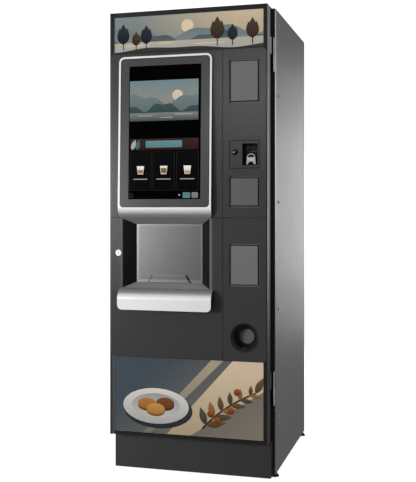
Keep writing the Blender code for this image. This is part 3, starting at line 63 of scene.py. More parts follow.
# Soft boxes: place, the point that each faces, its width and height, and its share of a power on the stage
LIGHTS = {
    "key_light": ((-2.95, -3.9, 1.25), (0.0, 0.0, 0.95), (1.2, 1.0), "key", 1.0),
    "fill_light": ((3.6, -2.4, 1.6), (0.0, 0.0, 0.95), (1.8, 2.2), "fill", 1.0),
    "top_light": ((-0.4, -1.6, 4.2), (0.0, -0.2, 1.0), (2.6, 1.8), "top", 1.0),
    "side_light": ((0.86, 3.0, 1.12), (0.325, 0.0, 1.06), (0.8, 1.2), "side", 2.0),
    "tall_side_light": ((0.86, 3.0, 1.12), (0.325, 0.0, 1.06), (0.8, 2.0), "side", 1.6),
    "sheen_light": ((-0.55, -4.2, 2.05), (0.25, -0.38, 1.47), (0.4, 0.4), "sheen", 1.0),
}

# Prints are stacks of thin plates, each just in front of the one before
PRINT_GAP = 0.0001
PRINT_STEP = 0.00006
PRINT_THICKNESS = 0.00004
PICTURE_LAP = 0.0072

# Glass of the touch screen, and the border round its display: left, bottom, right and top
GLASS_THICKNESS = 0.004
DISPLAY_BORDER = (0.0365, 0.032, 0.0355, 0.0315)

# Hatch: its edges with painted highlight, and its grip's place, half its foot, how fast its ends slope in and
# its height
HATCH_EDGES = (0.017, 0.018, 0.013, 0.012)
GRIP_FOOT = 0.0063
GRIP_HALF = 0.0875
GRIP_SLOPE = 0.583
GRIP_RISE = 0.030

# Heights over which the painted highlight on the cabinet's fold grows towards the top, heights over which the
# door's sides go from painted light above to painted shade at the foot, and depths of a hinge leaf's plate
FOLD_HIGHLIGHT_HEIGHTS = (0.55, 1.60)
DOOR_SIDE_LIGHT_AND_SHADE_HEIGHTS = (1.10, 0.40)
LEAF_PLATE = (-0.302, -0.306)

# Graphite strip at the lower left of the door frame
STRIP_RIGHT = -0.309
STRIP_TOP = 0.467

# Panel screws: how deep they sit, their dome's rise, their socket's depth and their rows on a side panel
SCREW_SINK = 0.0004
SCREW_DOME = 0.0004
SCREW_SOCKET = 0.0022
SIDE_SCREWS = [(-0.2160, height) for height in (1.774, 1.4964, 1.0767, 0.6517, 0.2265)]
SIDE_SCREWS += [(depth, 0.193) for depth in (-0.2098, 0.0870, 0.3944)]

# Solids by finish, for each of the finish steps
CABINET_FINISHES = {
    "cabinet": "side_panel_left side_panel_right top_panel back_panel",
    "black": "front_frame",
    "plinth": "plinth base_pan",
    "zinc": "service_plate",
    "rubber": "door_seal foot_front_left foot_front_right foot_back_left foot_back_right",
    "hinge": "upper_hinge_bracket lower_hinge_bracket",
    "leaf": "upper_hinge_leaf lower_hinge_leaf",
}
DOOR_FINISHES = {
    "door_frame": "door_frame",
    "zinc": "door_back",
    "picture": "top_picture lower_picture",
    "fascia": "screen_fascia payment_fascia change_fascia",
    "niche_fascia": "delivery_fascia",
    "coin_plate": "coin_plate",
    "plate": "blank_plate_1 blank_plate_3",
    "dark_plate": "blank_plate_2",
    "rim": "screen_housing",
    "glass": "touch_screen",
    "tray": "delivery_tray",
    "niche": "delivery_niche",
    "hatch": "hatch",
    "gloss": "coin_validator",
    "button": "return_button",
    "coin_cup": "coin_cup",
    "flap": "coin_flap",
    "entry": "coin_entry",
    "silver": "lock_rosette",
    "lock": "lock_core",
}
MODULE_FINISHES = {
    "zinc": "module_wall canister_shelf grinder",
    "steel": "cup_shelf boiler",
    "plastic": "canister_1 canister_2 auger_1 auger_2 brewer_frame brew_piston "
               "mixing_bowl whisk cup_drop_ring nozzle_block",
    "smoked": "bean_hopper cup_column waste_bucket",
}


def colour(name, description, default):
    return FloatVectorProperty(
        name=name, description=description, default=default, size=3, min=0.0, max=1.0, subtype="COLOR"
    )


def length(name, description, default):
    return FloatProperty(
        name=name, description=description, default=default, min=0.0, unit="LENGTH", subtype="DISTANCE"
    )


def power(name, description, default):
    return FloatProperty(name=name, description=description, default=default, unit="POWER")


def count(name, description, default):
    return IntProperty(name=name, description=description, default=default, min=1)


class DrinkMachinePaints(PropertyGroup):
    cabinet: colour("Cabinet", "Sprayed paint on the cabinet's outside", (0.230, 0.231, 0.233))
    frame_black: colour("Frame", "Powder coat on the door frame and front frame", (0.008, 0.008, 0.008))
    fascia: colour("Fascia", "Moulded panels on the door", (0.039, 0.039, 0.039))
    plate: colour("Plates", "Blank plates in the payment column", (0.140, 0.140, 0.140))
    silver: colour("Silver", "Lacquer on the screen rim and the tray", (0.780, 0.780, 0.780))
    screen_border: colour("Screen border", "Border round the display", (0.048, 0.048, 0.049))
    niche_floor: colour("Niche floor", "Floor and ceiling of the niche", (0.210, 0.210, 0.211))
    hatch: colour("Hatch", "Tint of the hatch's mirror", (0.196, 0.198, 0.201))
    gloss_black: colour("Gloss black", "Niche sides, coin cup and coin window", (0.008, 0.008, 0.008))
    zinc: colour("Zinc", "Galvanised sheet inside", (0.520, 0.525, 0.535))
    steel: colour("Steel", "Bright plated parts", (0.780, 0.780, 0.790))
    plastic: colour("Plastic", "Food plastic of the modules", (0.740, 0.735, 0.710))
    smoked: colour("Smoked plastic", "Hopper, cup column and bucket", (0.120, 0.095, 0.075))
    rubber: colour("Rubber", "Feet and door seal", (0.020, 0.020, 0.020))


class DrinkMachineSizes(PropertyGroup):
    screw_radius: length("Screw head", "Radius of the panel screws", 0.0056)
    screw_height: length("Screw height", "Height of a panel screw's foot and of its head", 0.0019)
    cup_radius: length("Cup rim", "Radius of a cup's rim", 0.036)
    cup_height: length("Cup height", "Height of one cup", 0.088)
    cup_pitch: length("Cup pitch", "Height that each cup adds to the stack", 0.010)
    cup_count: count("Cups", "Cups in the column", 36)
    slat_width: length("Slat", "Width of a drip grille slat", 0.005)
    slat_pitch: length("Slat pitch", "Distance between two slats", 0.011)
    bean_length: length("Bean", "Length of one bean", 0.011)
    bean_count: count("Beans", "Beans in the top layer", 420)
    door_edge: length("Door edge", "How far the moulding stands out on the door's free side", 0.0018)
    pipe_radius: length("Pipe", "Radius of the rigid drink pipes", 0.0055)


class DrinkMachineScreen(PropertyGroup):
    backdrop: colour("Backdrop", "Dark ground of the display", (0.0005, 0.0005, 0.0006))
    accent: colour("Accent", "Rounded bars on the display", (0.095, 0.200, 0.205))
    tile: colour("Tile", "Ground of a drink tile", (0.0009, 0.0009, 0.0010))
    line: colour("Line", "Outline of a drink tile", (0.030, 0.030, 0.031))
    warm: colour("Warm", "Drink colour on the tiles", (0.420, 0.200, 0.060))
    strip: colour("Strip", "Ground of the strip over the tiles", (0.022, 0.010, 0.008))
    glow: FloatProperty(name="Glow", description="Strength of the display's own light", default=1.0, min=0.0)


class DrinkMachineStage(PropertyGroup):
    floor: colour("Floor", "Plain pale floor and wall", (0.86, 0.86, 0.86))
    key: power("Key light", "Soft light from the left", 152.0)
    fill: power("Fill light", "Soft light from the right", 45.0)
    top: power("Top light", "Soft light from above", 16.0)
    side: power("Side light", "Soft boxes behind the right side", 6.4)
    sheen: power("Sheen light", "Small box that the fascia's satin shows", 5.2)
    world: FloatProperty(name="Surround", description="Even light from all round", default=0.16, min=0.0)


def feed(socket, value):
    """Link a wire to a socket, or set the socket to a value."""
    if isinstance(value, Wire):
        socket.id_data.links.new(value.socket, socket)
    elif socket.type == "RGBA":
        socket.default_value = (*value, 1.0)
    else:
        socket.default_value = value


def add_node(tree, kind, settings=(), inputs=()):
    """Outputs of a new node. Its settings come first, then its sockets' values or wires."""
    node = tree.nodes.new(kind)
    for key, value in dict(settings).items():
        setattr(node, key, value)
    for key, value in dict(inputs).items():
        feed(node.inputs[key], value)
    return node.outputs


class Wire:
    """A socket that gives a value in a node tree. Python's operators on it add Math nodes."""

    def __init__(self, socket):
        self.socket = socket

    def add(self, kind, settings=(), inputs=(), output=0):
        """Wire from another node of the same tree."""
        return Wire(add_node(self.socket.id_data, kind, settings, inputs)[output])

    def math(self, operation, first, second):
        return self.add("ShaderNodeMath", {"operation": operation}, {0: first, 1: second})

    def __add__(self, other):
        return self.math("ADD", self, other)

    __radd__ = __add__

    def __sub__(self, other):
        return self.math("SUBTRACT", self, other)

    def __rsub__(self, other):
        return self.math("SUBTRACT", other, self)

    def __mul__(self, other):
        return self.math("MULTIPLY", self, other)

    __rmul__ = __mul__

    def __abs__(self):
        return self.math("ABSOLUTE", self, 0.0)


def mix(share, low, high):
    """Colour between two others."""
    return share.add("ShaderNodeMix", {"data_type": "RGBA"}, {0: share, 6: low, 7: high}, 2)


def multiply(tint, share):
    """Colour wire made darker all over."""
    settings = {"data_type": "RGBA", "blend_type": "MULTIPLY"}
    return tint.add("ShaderNodeMix", settings, {0: 1.0, 6: tint, 7: (share, share, share)}, 2)


def ease(value, low, high):
    """0 below low, 1 above high and a soft step between them."""
    settings = {"interpolation_type": "SMOOTHSTEP", "clamp": True}
    return value.add("ShaderNodeMapRange", settings, {0: value, 1: low, 2: high})


def within(value, low, high, soft):
    """1 between two limits, with soft edges outside them."""
    return ease(value, low - soft, low) * ease(value, high + soft, high)


def noise(place, scale, detail=2.0):
    return place.add("ShaderNodeTexNoise", (), {"Vector": place, "Scale": scale, "Detail": detail})


def split(vector):
    """Wires for the x, y and z of a vector."""
    return [Wire(axis) for axis in add_node(vector.socket.id_data, "ShaderNodeSeparateXYZ", (), {0: vector})]


def stretched(place, scale):
    """Place scaled differently on each axis, for brushed lines."""
    return place.add("ShaderNodeMapping", {"vector_type": "POINT"}, {"Vector": place, "Scale": scale})


def shade(tint, share):
    return tuple(min(1.0, value * share) for value in tint)


def between(share, tint, low, high):
    """Colour between two shades of one tint."""
    return mix(share, shade(tint, low), shade(tint, high))


def inset(node, left, bottom=None, right=None, top=None):
    """Left, bottom, right and top of a solid's front, drawn in by one margin or by four."""
    low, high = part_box(node)
    bottom, right, top = (left if margin is None else margin for margin in (bottom, right, top))
    return low.x + left, low.z + bottom, high.x - right, high.z - top


class Coat:
    """A new finish: its shader, and wires for the place and the facing on the piece."""

    def __init__(self, name):
        self.material = bpy.data.materials.new(name)
        self.material.use_nodes = True
        tree = self.material.node_tree
        self.shader = tree.nodes["Principled BSDF"]
        source = tree.nodes.new("ShaderNodeTexCoord")
        self.place = Wire(source.outputs["Object"])
        self.facing = Wire(source.outputs["Normal"])

    def set(self, **values):
        """Feed the shader's sockets, named with _ for a space."""
        for key, value in values.items():
            feed(self.shader.inputs[key.replace("_", " ")], value)
        return self

    def cloudy(self, tint, spread=0.06, scale=3.0):
        """Colour that clouds a little over the piece."""
        return between(noise(self.place, scale), tint, 1 - spread, 1 + spread)

    def uneven(self, middle, spread, scale):
        """Number that wavers over the piece."""
        return middle + spread * (noise(self.place, scale) - 0.5)

    def panel(self, left, bottom, right, top, soft):
        """1 in a rectangle on the front, with soft edges outside it."""
        x, _, z = split(self.place)
        return within(x, left, right, soft) * within(z, bottom, top, soft)

    def dress(self, tint, rough, grain=None, detail=1.0, **values):
        """Colour, uneven roughness, a bump grain given by its scale and depth, and other sockets."""
        self.set(Base_Color=tint, Roughness=self.uneven(*rough), **values)
        if grain:
            scale, depth = grain
            height = noise(self.place, scale, detail)
            inputs = {"Height": height, "Distance": depth, "Strength": 1.0}
            self.set(Normal=self.place.add("ShaderNodeBump", (), inputs))
        return self


def sprayed_paint(name, tint, roughness, metallic=0.0):
    """Sprayed sheet metal: faint clouds, and orange peel in the gloss."""
    coat = Coat(name)
    return coat.dress(coat.cloudy(tint), (roughness, 0.08, 9.0), (320.0, 0.00012), Metallic=metallic)


def satin(coat, tint, roughness=0.23):
    """Satin and fine etched grain of a moulding over its colour."""
    return coat.dress(tint, (roughness, 0.015, 40.0), (1400.0, 0.00008), Specular_IOR_Level=0.38)


def moulding(name, tint, roughness):
    """Moulded plastic."""
    coat = Coat(name)
    return satin(coat, coat.cloudy(tint, 0.05, 5.0), roughness)


def gloss(name, tint, roughness=0.14):
    """Polished plastic with a faint haze of wiping."""
    coat = Coat(name)
    haze = noise(stretched(coat.place, (6.0, 6.0, 30.0)), 4.0, 3.0)
    coat.set(Roughness=roughness + 0.10 * ease(haze, 0.45, 0.75), Specular_IOR_Level=0.4)
    return coat.set(Base_Color=coat.cloudy(tint, 0.10, 8.0))


def galvanised(name, tint):
    """Zinc sheet with its crystal spangle."""
    coat = Coat(name)
    cells = coat.place.add("ShaderNodeTexVoronoi", (), {"Vector": coat.place, "Scale": 70.0}, "Color")
    grey = cells.add("ShaderNodeRGBToBW", (), {0: cells})
    coat.set(Metallic=1.0, Roughness=0.34 + 0.14 * grey)
    return coat.set(Base_Color=between(grey, tint, 0.82, 1.10))


def brushed_steel(name, tint):
    coat = Coat(name)
    lines = noise(stretched(coat.place, (1.0, 60.0, 60.0)), 14.0, 3.0)
    coat.set(Metallic=1.0, Roughness=0.24 + 0.16 * lines)
    return coat.set(Base_Color=between(lines, tint, 0.85, 1.05))


def soft_rubber(name, tint):
    coat = Coat(name)
    return coat.dress(coat.cloudy(tint, 0.2, 30.0), (0.775, 0.15, 90.0), (700.0, 0.0001), 2.0)


def tinted_clear(name, tint, alpha):
    """See-through plastic."""
    coat = Coat(name)
    return coat.dress(coat.cloudy(tint, 0.08, 6.0), (0.14, 0.08, 12.0), Alpha=alpha)


def printed(name, glow, ink):
    """Colour of a print's own shapes, with the grain of a screen print and light from behind."""
    coat = Coat(name)
    tint = coat.place.add("ShaderNodeVertexColor", {"layer_name": "tint"})
    grain = noise(coat.place, 240.0, 1.0)
    inked = mix(ease(grain, 0.35, 0.65), multiply(tint, 0.90), tint)
    coat.set(Base_Color=multiply(inked, ink), Roughness=0.12 + 0.06 * grain, Specular_IOR_Level=0.1)
    return coat.set(Emission_Color=inked, Emission_Strength=glow)


def cabinet_finish(paints):
    """Cabinet paint, with a painted highlight on the folded front edge that is strongest towards the top."""
    coat = Coat("cabinet_paint")
    _, y, z = split(coat.place)
    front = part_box("side_panel_right")[0].y
    fold = ease(y, front + 0.022, front + 0.016)
    # Painted highlight on the fold, up to 3.7 times the paint's colour towards the top
    fold_highlight = between(ease(z, *FOLD_HIGHLIGHT_HEIGHTS), paints.cabinet, 0.9, 3.7)
    tint = mix(fold, coat.cloudy(paints.cabinet, 0.04), fold_highlight)
    return coat.dress(tint, (0.46, 0.06, 9.0), (320.0, 0.00010), Metallic=0.15)


def door_side(coat, paints, share=1.0):
    """Cabinet paint on the door's sides, with painted light above that turns to painted shade towards the
    foot.
    """
    # Painted light near the top and painted shade at the foot
    foot = ease(split(coat.place)[2], *DOOR_SIDE_LIGHT_AND_SHADE_HEIGHTS)
    return between(foot, paints.cabinet, 1.7 * share, 0.3 * share)


def frame_finish(paints):
    """Door frame: black front, cabinet paint on its sides with painted light above and painted shade towards
    the foot, and a graphite strip by the lower picture.
    """
    coat = Coat("door_frame_coat")
    x, y, z = split(coat.place)
    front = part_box("door_frame")[0].y
    side = ease(abs(split(coat.facing)[0]), 0.6, 0.8) * ease(y, front + 0.056, front + 0.050)
    left = ease(x, STRIP_RIGHT + 0.0005, STRIP_RIGHT - 0.0005)
    strip = left * ease(z, STRIP_TOP + 0.001, STRIP_TOP - 0.001)
    # The sides carry the painted light and shade of door_side
    tint = mix(side, mix(strip, paints.frame_black, shade(paints.fascia, 1.7)), door_side(coat, paints))
    return coat.dress(tint, (0.42, 0.08, 12.0), (420.0, 0.00010), Specular_IOR_Level=0.25)


def hinge_finish(paints, name, leaf=0.0):
    """Hinge: plated on the side away from the door, black towards it as painted shade of the gap by the door.
    A leaf's plate is painted, with the painted light and shade of the door's sides.
    """
    coat = Coat(name)
    x, y, _ = split(coat.place)
    low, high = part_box("upper_hinge_bracket")
    middle = (low.x + high.x) / 2
    # Black towards the door: painted shade of the gap beside it
    bright = ease(x, middle + 0.0022, middle + 0.0040)
    plate = leaf * ease(y, *LEAF_PLATE)
    plated = mix(bright, paints.frame_black, coat.cloudy(paints.steel, 0.05, 30.0))
    coat.set(Metallic=bright * (1 - plate) * 0.3, Specular_IOR_Level=0.25)
    # The leaf's plate carries the door sides' painted light and shade
    return coat.dress(mix(plate, plated, door_side(coat, paints, 1.3)), (0.365, 0.05, 50.0))


def screw_finish(paints):
    """Panel screw: bright head with a dark foot and socket, both painted shade."""
    coat = Coat("screw_plating")
    # Faces marked dark carry painted shade
    dark = coat.place.add("ShaderNodeAttribute", {"attribute_name": "dark"}, (), "Fac")
    tint = mix(dark, coat.cloudy(paints.steel, 0.05, 60.0), paints.frame_black)
    return coat.dress(tint, (0.36, 0.08, 90.0), Metallic=0.3 - 0.3 * dark)


def lock_finish(paints):
    """Lock core: bright face with a dark keyhole painted on it, as painted shade of the slot."""
    coat = Coat("lock_core_steel")
    low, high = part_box("lock_rosette")
    middle, half, tall = (low + high) / 2, 0.0014, 0.0046
    # Keyhole: painted shade of the slot, in gloss black
    hole = coat.panel(middle.x - half, middle.z - tall, middle.x + half, middle.z + tall, 0.0006)
    tint = mix(hole, coat.cloudy(paints.steel, 0.05, 60.0), paints.gloss_black)
    return coat.dress(tint, (0.35, 0.1, 90.0), Metallic=0.3)


def bevelled_plate(paints, name, share=1.0):
    """Blank plate: pale flat face with a darker bevel round it, painted lit where the bevel faces left and in
    painted shade where it faces other ways.
    """
    coat = Coat(name)
    x, y, _ = split(coat.facing)
    # Painted light on left-facing bevels, painted shade on the rest
    bevel = between(ease(x, 0.1, -0.3), paints.fascia, 0.7, 2.0)
    tint = mix(ease(y, -0.92, -0.98), bevel, coat.cloudy(shade(paints.plate, share), 0.04, 5.0))
    return coat.dress(tint, (0.50, 0.08, 40.0), (1400.0, 0.00006), Specular_IOR_Level=0.3)


def niche_fascia_finish(paints):
    """Fascia round the niche, with a painted highlight along the edges of the niche's opening."""
    coat = Coat("niche_fascia_moulding")
    x, _, z = split(coat.place)
    low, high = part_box("delivery_niche")
    tray_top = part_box("delivery_tray")[1].z
    beside = ease(z, tray_top - 0.004, tray_top)
    right = ease(x, high.x - 0.001, high.x)
    left = ease(x, low.x - 0.014, low.x - 0.008) * ease(x, low.x + 0.001, low.x)
    # Painted highlight: a bright line and a soft band right of the opening, a soft band left of it
    line = beside * right * ease(x, high.x + 0.0065, high.x + 0.0035)
    soft = beside * (right * ease(x, high.x + 0.018, high.x + 0.004) + left)
    body = mix(soft * 0.55, coat.cloudy(paints.fascia, 0.05, 5.0), shade(paints.fascia, 2.0))
    return satin(coat, mix(line, body, shade(paints.fascia, 4.2)))


def coin_plate_finish(paints):
    """Coin plate: fascia moulding with a dark line round its edge, painted shade of the gap round the plate.
    """
    coat = Coat("coin_plate_moulding")
    # Dark line round the edge: painted shade of the gap
    inside = coat.panel(*inset("coin_plate", 0.0030), 0.0008)
    return satin(coat, mix(inside, shade(paints.fascia, 0.06), coat.cloudy(paints.fascia, 0.05, 5.0)))


def cup_finish(paints):
    """Coin cup: dark satin lead-in and a gloss black throat."""
    coat = Coat("coin_cup_moulding")
    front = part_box("coin_cup")[0].y
    deep = ease(split(coat.place)[1], front + 0.0125, front + 0.0145)
    ring = coat.cloudy(shade(paints.fascia, 0.55), 0.05, 9.0)
    coat.set(Roughness=0.22 - 0.08 * deep, Specular_IOR_Level=0.4)
    return coat.set(Base_Color=mix(deep, ring, paints.gloss_black))


def entry_finish(paints):
    """Coin entry: bright face, gloss black in its slot and behind as painted shade."""
    coat = Coat("coin_entry_chrome")
    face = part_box("coin_entry")[0].y
    # Gloss black deeper than the face: painted shade in the slot and behind
    deep = ease(split(coat.place)[1], face + 0.0012, face + 0.0022)
    bright = between(noise(coat.place, 160.0), paints.steel, 0.45, 0.85)
    return coat.dress(mix(deep, bright, paints.gloss_black), (0.27, 0.10, 60.0), Metallic=0.45)


def lacquered(coat, paints, front):
    """Smooth lacquer over a front colour, with black on the ends."""
    side = ease(abs(split(coat.facing)[0]), 0.75, 0.9)
    tint = mix(side, front, paints.frame_black)
    return coat.dress(tint, (0.34, 0.06, 15.0), (900.0, 0.00004), Metallic=0.10)


def rim_finish(paints):
    """Screen rim: silver with black sides, and a chin with a painted highlight, white, where it starts to
    roll under, and painted shade, grey, as it rolls further.
    """
    coat = Coat("screen_rim_lacquer")
    upward = split(coat.facing)[2]
    # Painted highlight: white where the chin starts to face down
    face = mix(ease(upward, -0.05, -0.12), coat.cloudy(paints.silver, 0.03), (1.0, 1.0, 1.0))
    # Painted shade: grey where the rim faces up or down
    return lacquered(coat, paints, mix(ease(abs(upward), 0.10, 0.54), face, shade(paints.silver, 0.29)))


def tray_finish(paints):
    """Tray lip: silver with black ends, and painted shade, grey, where it rolls back to the niche."""
    coat = Coat("tray_lacquer")
    # Painted shade: grey where the lip faces up or down
    turned = ease(abs(split(coat.facing)[2]), 0.33, 0.70)
    return lacquered(coat, paints, mix(turned, coat.cloudy(paints.silver, 0.03), shade(paints.silver, 0.28)))


def glass_finish(paints, screen):
    """Screen glass: graphite border round a black display."""
    coat = Coat("screen_glass")
    inside = coat.panel(*inset("touch_screen", *DISPLAY_BORDER), 0.001)
    pane = coat.panel(*inset("touch_screen", 0.0035), 0.001)
    border = between(pane, paints.screen_border, 0.25, 1.0)
    smear = noise(stretched(coat.place, (4.0, 4.0, 14.0)), 3.0, 3.0)
    coat.set(Base_Color=mix(inside, border, screen.backdrop), Specular_IOR_Level=0.06)
    coat.set(Roughness=0.34 - inside * (0.29 - 0.04 * ease(smear, 0.4, 0.8)))
    return coat.set(Coat_Weight=1 - inside, Coat_Roughness=0.23)


def niche_finish(paints):
    """Niche: gloss black sides, grey floor and ceiling in a paler and a darker copy as painted light and
    shade, and a painted highlight on the front edge.
    """
    coat = Coat("niche_gloss")
    _, y, upward = split(coat.facing)
    level = ease(abs(upward), 0.5, 0.7)
    # Painted light and shade: ceiling and floor take two shades of one grey by the way they face
    grey = between(ease(upward, -0.2, 0.2), paints.niche_floor, 1.4, 1.2)
    inner = mix(level, paints.gloss_black, grey)
    coat.set(Roughness=0.12 + 0.30 * level + 0.05 * noise(coat.place, 20.0), Specular_IOR_Level=0.10)
    # Painted highlight on the front-facing edge
    return coat.set(Base_Color=mix(ease(y, -0.85, -0.95), inner, shade(paints.plate, 0.9)))


def hatch_finish(paints):
    """Hatch of satin mirror sheet: it shows the lights, with painted highlight on its edges, and a grip shown
    by a painted highlight on its brow and painted shade on its ends.
    """
    coat = Coat("hatch_clear")
    x, y, z = split(coat.place)
    low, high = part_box("hatch")
    pale = shade(paints.hatch, 1.4)
    inside = coat.panel(*inset("hatch", *HATCH_EDGES), 0.002)
    # Painted highlight on the edges round the inside
    body = mix(inside, shade(paints.hatch, 1.3), coat.cloudy(paints.hatch, 0.04, 6.0))
    grip = ease(y, low.y + 0.0046, low.y + 0.0042)
    above = z - (low.z + GRIP_FOOT)
    spread = GRIP_HALF - GRIP_SLOPE * above - abs(x - (low.x + high.x) / 2)
    brow_highlight = ease(above, GRIP_RISE - 0.0040, GRIP_RISE - 0.0022)
    ends = ease(spread, 0.0050, 0.0022)
    # Painted highlight on the grip's brow, painted shade on its ends
    tint = mix(grip * ends, mix(grip * brow_highlight, body, pale), shade(paints.hatch, 0.2))
    coat.set(Metallic=0.95, Specular_IOR_Level=0.3, Alpha=1.0 - 0.12 * inside)
    return coat.dress(tint, (0.293, 0.01, 12.0))


FINISH_OF = {}


def finishes():
    """Every finish by name, made once."""
    if FINISH_OF:
        return FINISH_OF
    paints, screen = bpy.context.scene.drink_paints, bpy.context.scene.drink_screen
    coats = {
        "cabinet": cabinet_finish(paints),
        "black": sprayed_paint("black_powder_coat", paints.frame_black, 0.42),
        "plinth": sprayed_paint("plinth_powder_coat", shade(paints.fascia, 0.6), 0.45),
        "door_frame": frame_finish(paints),
        "fascia": moulding("fascia_moulding", paints.fascia, 0.23),
        "niche_fascia": niche_fascia_finish(paints),
        "door_edge": moulding("door_edge_moulding", shade(paints.fascia, 1.9), 0.36),
        "coin_plate": coin_plate_finish(paints),
        "plate": bevelled_plate(paints, "blank_plate_moulding"),
        "dark_plate": bevelled_plate(paints, "dark_plate_moulding", 0.70),
        "flap": moulding("coin_flap_moulding", shade(paints.plate, 0.80), 0.5),
        "coin_cup": cup_finish(paints),
        "entry": entry_finish(paints),
        "guides": gloss("coin_guide_plastic", shade(paints.fascia, 0.5), 0.25),
        "lock": lock_finish(paints),
        "hinge": hinge_finish(paints, "hinge_bracket_plating"),
        "leaf": hinge_finish(paints, "hinge_leaf_coat", 1.0),
        "button": gloss("return_button_gloss", shade(paints.gloss_black, 0.3), 0.08),
        "screw": screw_finish(paints),
        "silver": sprayed_paint("silver_lacquer", paints.silver, 0.30, 0.15),
        "rim": rim_finish(paints),
        "tray": tray_finish(paints),
        "glass": glass_finish(paints, screen),
        "niche": niche_finish(paints),
        "hatch": hatch_finish(paints),
        "gloss": gloss("gloss_black_plastic", paints.gloss_black),
        "zinc": galvanised("galvanised_sheet", paints.zinc),
        "steel": brushed_steel("brushed_steel", paints.steel),
        "plastic": moulding("food_plastic", paints.plastic, 0.38),
        "smoked": tinted_clear("smoked_plastic", paints.smoked, 0.62),
        "rubber": soft_rubber("soft_rubber", paints.rubber),
        "picture": moulding("picture_backing", (0.62, 0.66, 0.68), 0.3),
        "beans": moulding("roasted_beans", (0.045, 0.018, 0.008), 0.32),
        "cups": moulding("paper_cups", (0.62, 0.48, 0.34), 0.6),
        "screen_print": printed("display_picture", screen.glow, 0.06),
        "panel_print": printed("backlit_picture", 0.25, 0.75),
    }
    FINISH_OF.update({name: coat.material for name, coat in coats.items()})
    return FINISH_OF


def give_finishes(table):
    """Put finishes on solids of the frame, from a table of names by finish."""
    for finish, names in table.items():
        for name in names.split():
            materials = NODES[name].data.materials
            materials.clear()
            materials.append(finishes()[finish])


def add_piece(name, mesh, finish, body):
    """Object at the origin that rides on a body and takes one of the finishes."""
    mesh.name = name
    mesh.materials.clear()
    mesh.materials.append(finishes()[finish])
    piece = bpy.data.objects.new(name, mesh)
    bpy.context.scene.collection.objects.link(piece)
    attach(piece, body)


def mesh_from(shape):
    mesh = bpy.data.meshes.new("shape")
    shape.to_mesh(mesh)
    shape.free()
    return mesh


def add_box(shape, low, high, edge):
    """Box in a shape between two corners, with rounded edges."""
    low, high = Vector(low), Vector(high)
    part = bmesh.ops.create_cube(shape, size=1.0)["verts"]
    bmesh.ops.scale(shape, vec=high - low, verts=part)
    bmesh.ops.translate(shape, vec=(low + high) / 2, verts=part)
    edges = list({side for vert in part for side in vert.link_edges})
    bmesh.ops.bevel(shape, geom=edges, offset=edge, segments=3, profile=0.5, affect="EDGES")


def add_walls(shape, near, far):
    """Faces between two rings of points, from the near ring to the far one."""
    for i in range(len(near)):
        shape.faces.new((near[i - 1], near[i], far[i], far[i - 1]))


def add_prism(shape, outline, low, high):
    """Upright bar in a shape, from an outline in x and y that runs anticlockwise."""
    foot, head = ([shape.verts.new((x, y, z)) for x, y in outline] for z in (low, high))
    shape.faces.new(foot[::-1])
    shape.faces.new(head)
    add_walls(shape, foot, head)


def blend(share, low, high):
    """Colour between two others, worked out here."""
    return [a + (b - a) * share for a, b in zip(low, high)]


class Print:
    """Flat coloured shapes on a face, built up like the layers of a screen print."""

    def __init__(self, area, face):
        self.left, self.bottom, right, top = area
        self.width, self.height = right - self.left, top - self.bottom
        self.aspect = self.width / self.height
        self.face = face
        self.shape = bmesh.new()
        self.tints = self.shape.verts.layers.float_color.new("tint")
        self.layer = 0

    def add(self, outline, tint, top_tint=None, same_layer=False):
        """Shape from shares of the print. Its colour may run from its foot to its top, or be a function."""
        if not same_layer:
            self.layer += 1
        lift = PRINT_GAP + self.layer * PRINT_STEP
        area = sum(a[0] * b[1] - b[0] * a[1] for a, b in zip(outline, outline[1:] + outline[:1]))
        if area < 0:
            outline = outline[::-1]
        heights = [v for _, v in outline]
        foot, rise = min(heights), max(max(heights) - min(heights), 1e-6)
        front, back = [], []
        for u, v in outline:
            shown = tint(u, v) if callable(tint) else blend((v - foot) / rise, tint, top_tint or tint)
            x, z = self.left + self.width * u, self.bottom + self.height * v
            for ring, depth in ((front, lift + PRINT_THICKNESS), (back, lift)):
                vert = self.shape.verts.new((x, self.face(z) - depth, z))
                vert[self.tints] = (*shown, 1.0)
                ring.append(vert)
        self.shape.faces.new(front)
        self.shape.faces.new(back[::-1])
        add_walls(self.shape, back, front)

    def piece(self, name, finish, slot):
        add_piece(name, mesh_from(self.shape), finish, "door")


def picture_print(node):
    """Print over the part of a picture panel that shows in the door frame."""
    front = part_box(node)[0].y
    return Print(inset(node, PICTURE_LAP), lambda z: front)


def screen_print():
    """Print on the display, along the front plane of the leaning glass."""
    low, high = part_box("touch_screen")
    slope = (high.y - GLASS_THICKNESS - low.y) / (high.z - low.z)
    return Print(inset("touch_screen", *DISPLAY_BORDER), lambda z: low.y + (z - low.z) * slope)


def box_outline(left, bottom, right, top):
    return [(left, bottom), (right, bottom), (right, top), (left, top)]


def oval(centre, radius_u, radius_v, start=0.0, end=360.0, steps=32):
    """Points on an oval, with the angles in degrees."""
    whole = end - start >= 360.0
    angles = [math.radians(start + (end - start) * i / steps) for i in range(steps + (not whole))]
    return [(centre[0] + radius_u * math.cos(a), centre[1] + radius_v * math.sin(a)) for a in angles]


def pill(left, bottom, right, top, aspect, share=0.5, steps=8):
    """Rectangle with round corners, from shares of a print that is aspect times as wide as high."""
    tall = (top - bottom) * share
    wide = tall / aspect
    inner = box_outline(left + wide, bottom + tall, right - wide, top - tall)
    corners = zip((inner[2], inner[3], inner[0], inner[1]), (0, 90, 180, 270))
    quarters = (oval(centre, wide, tall, start, start + 90, steps) for centre, start in corners)
    return [point for quarter in quarters for point in quarter]


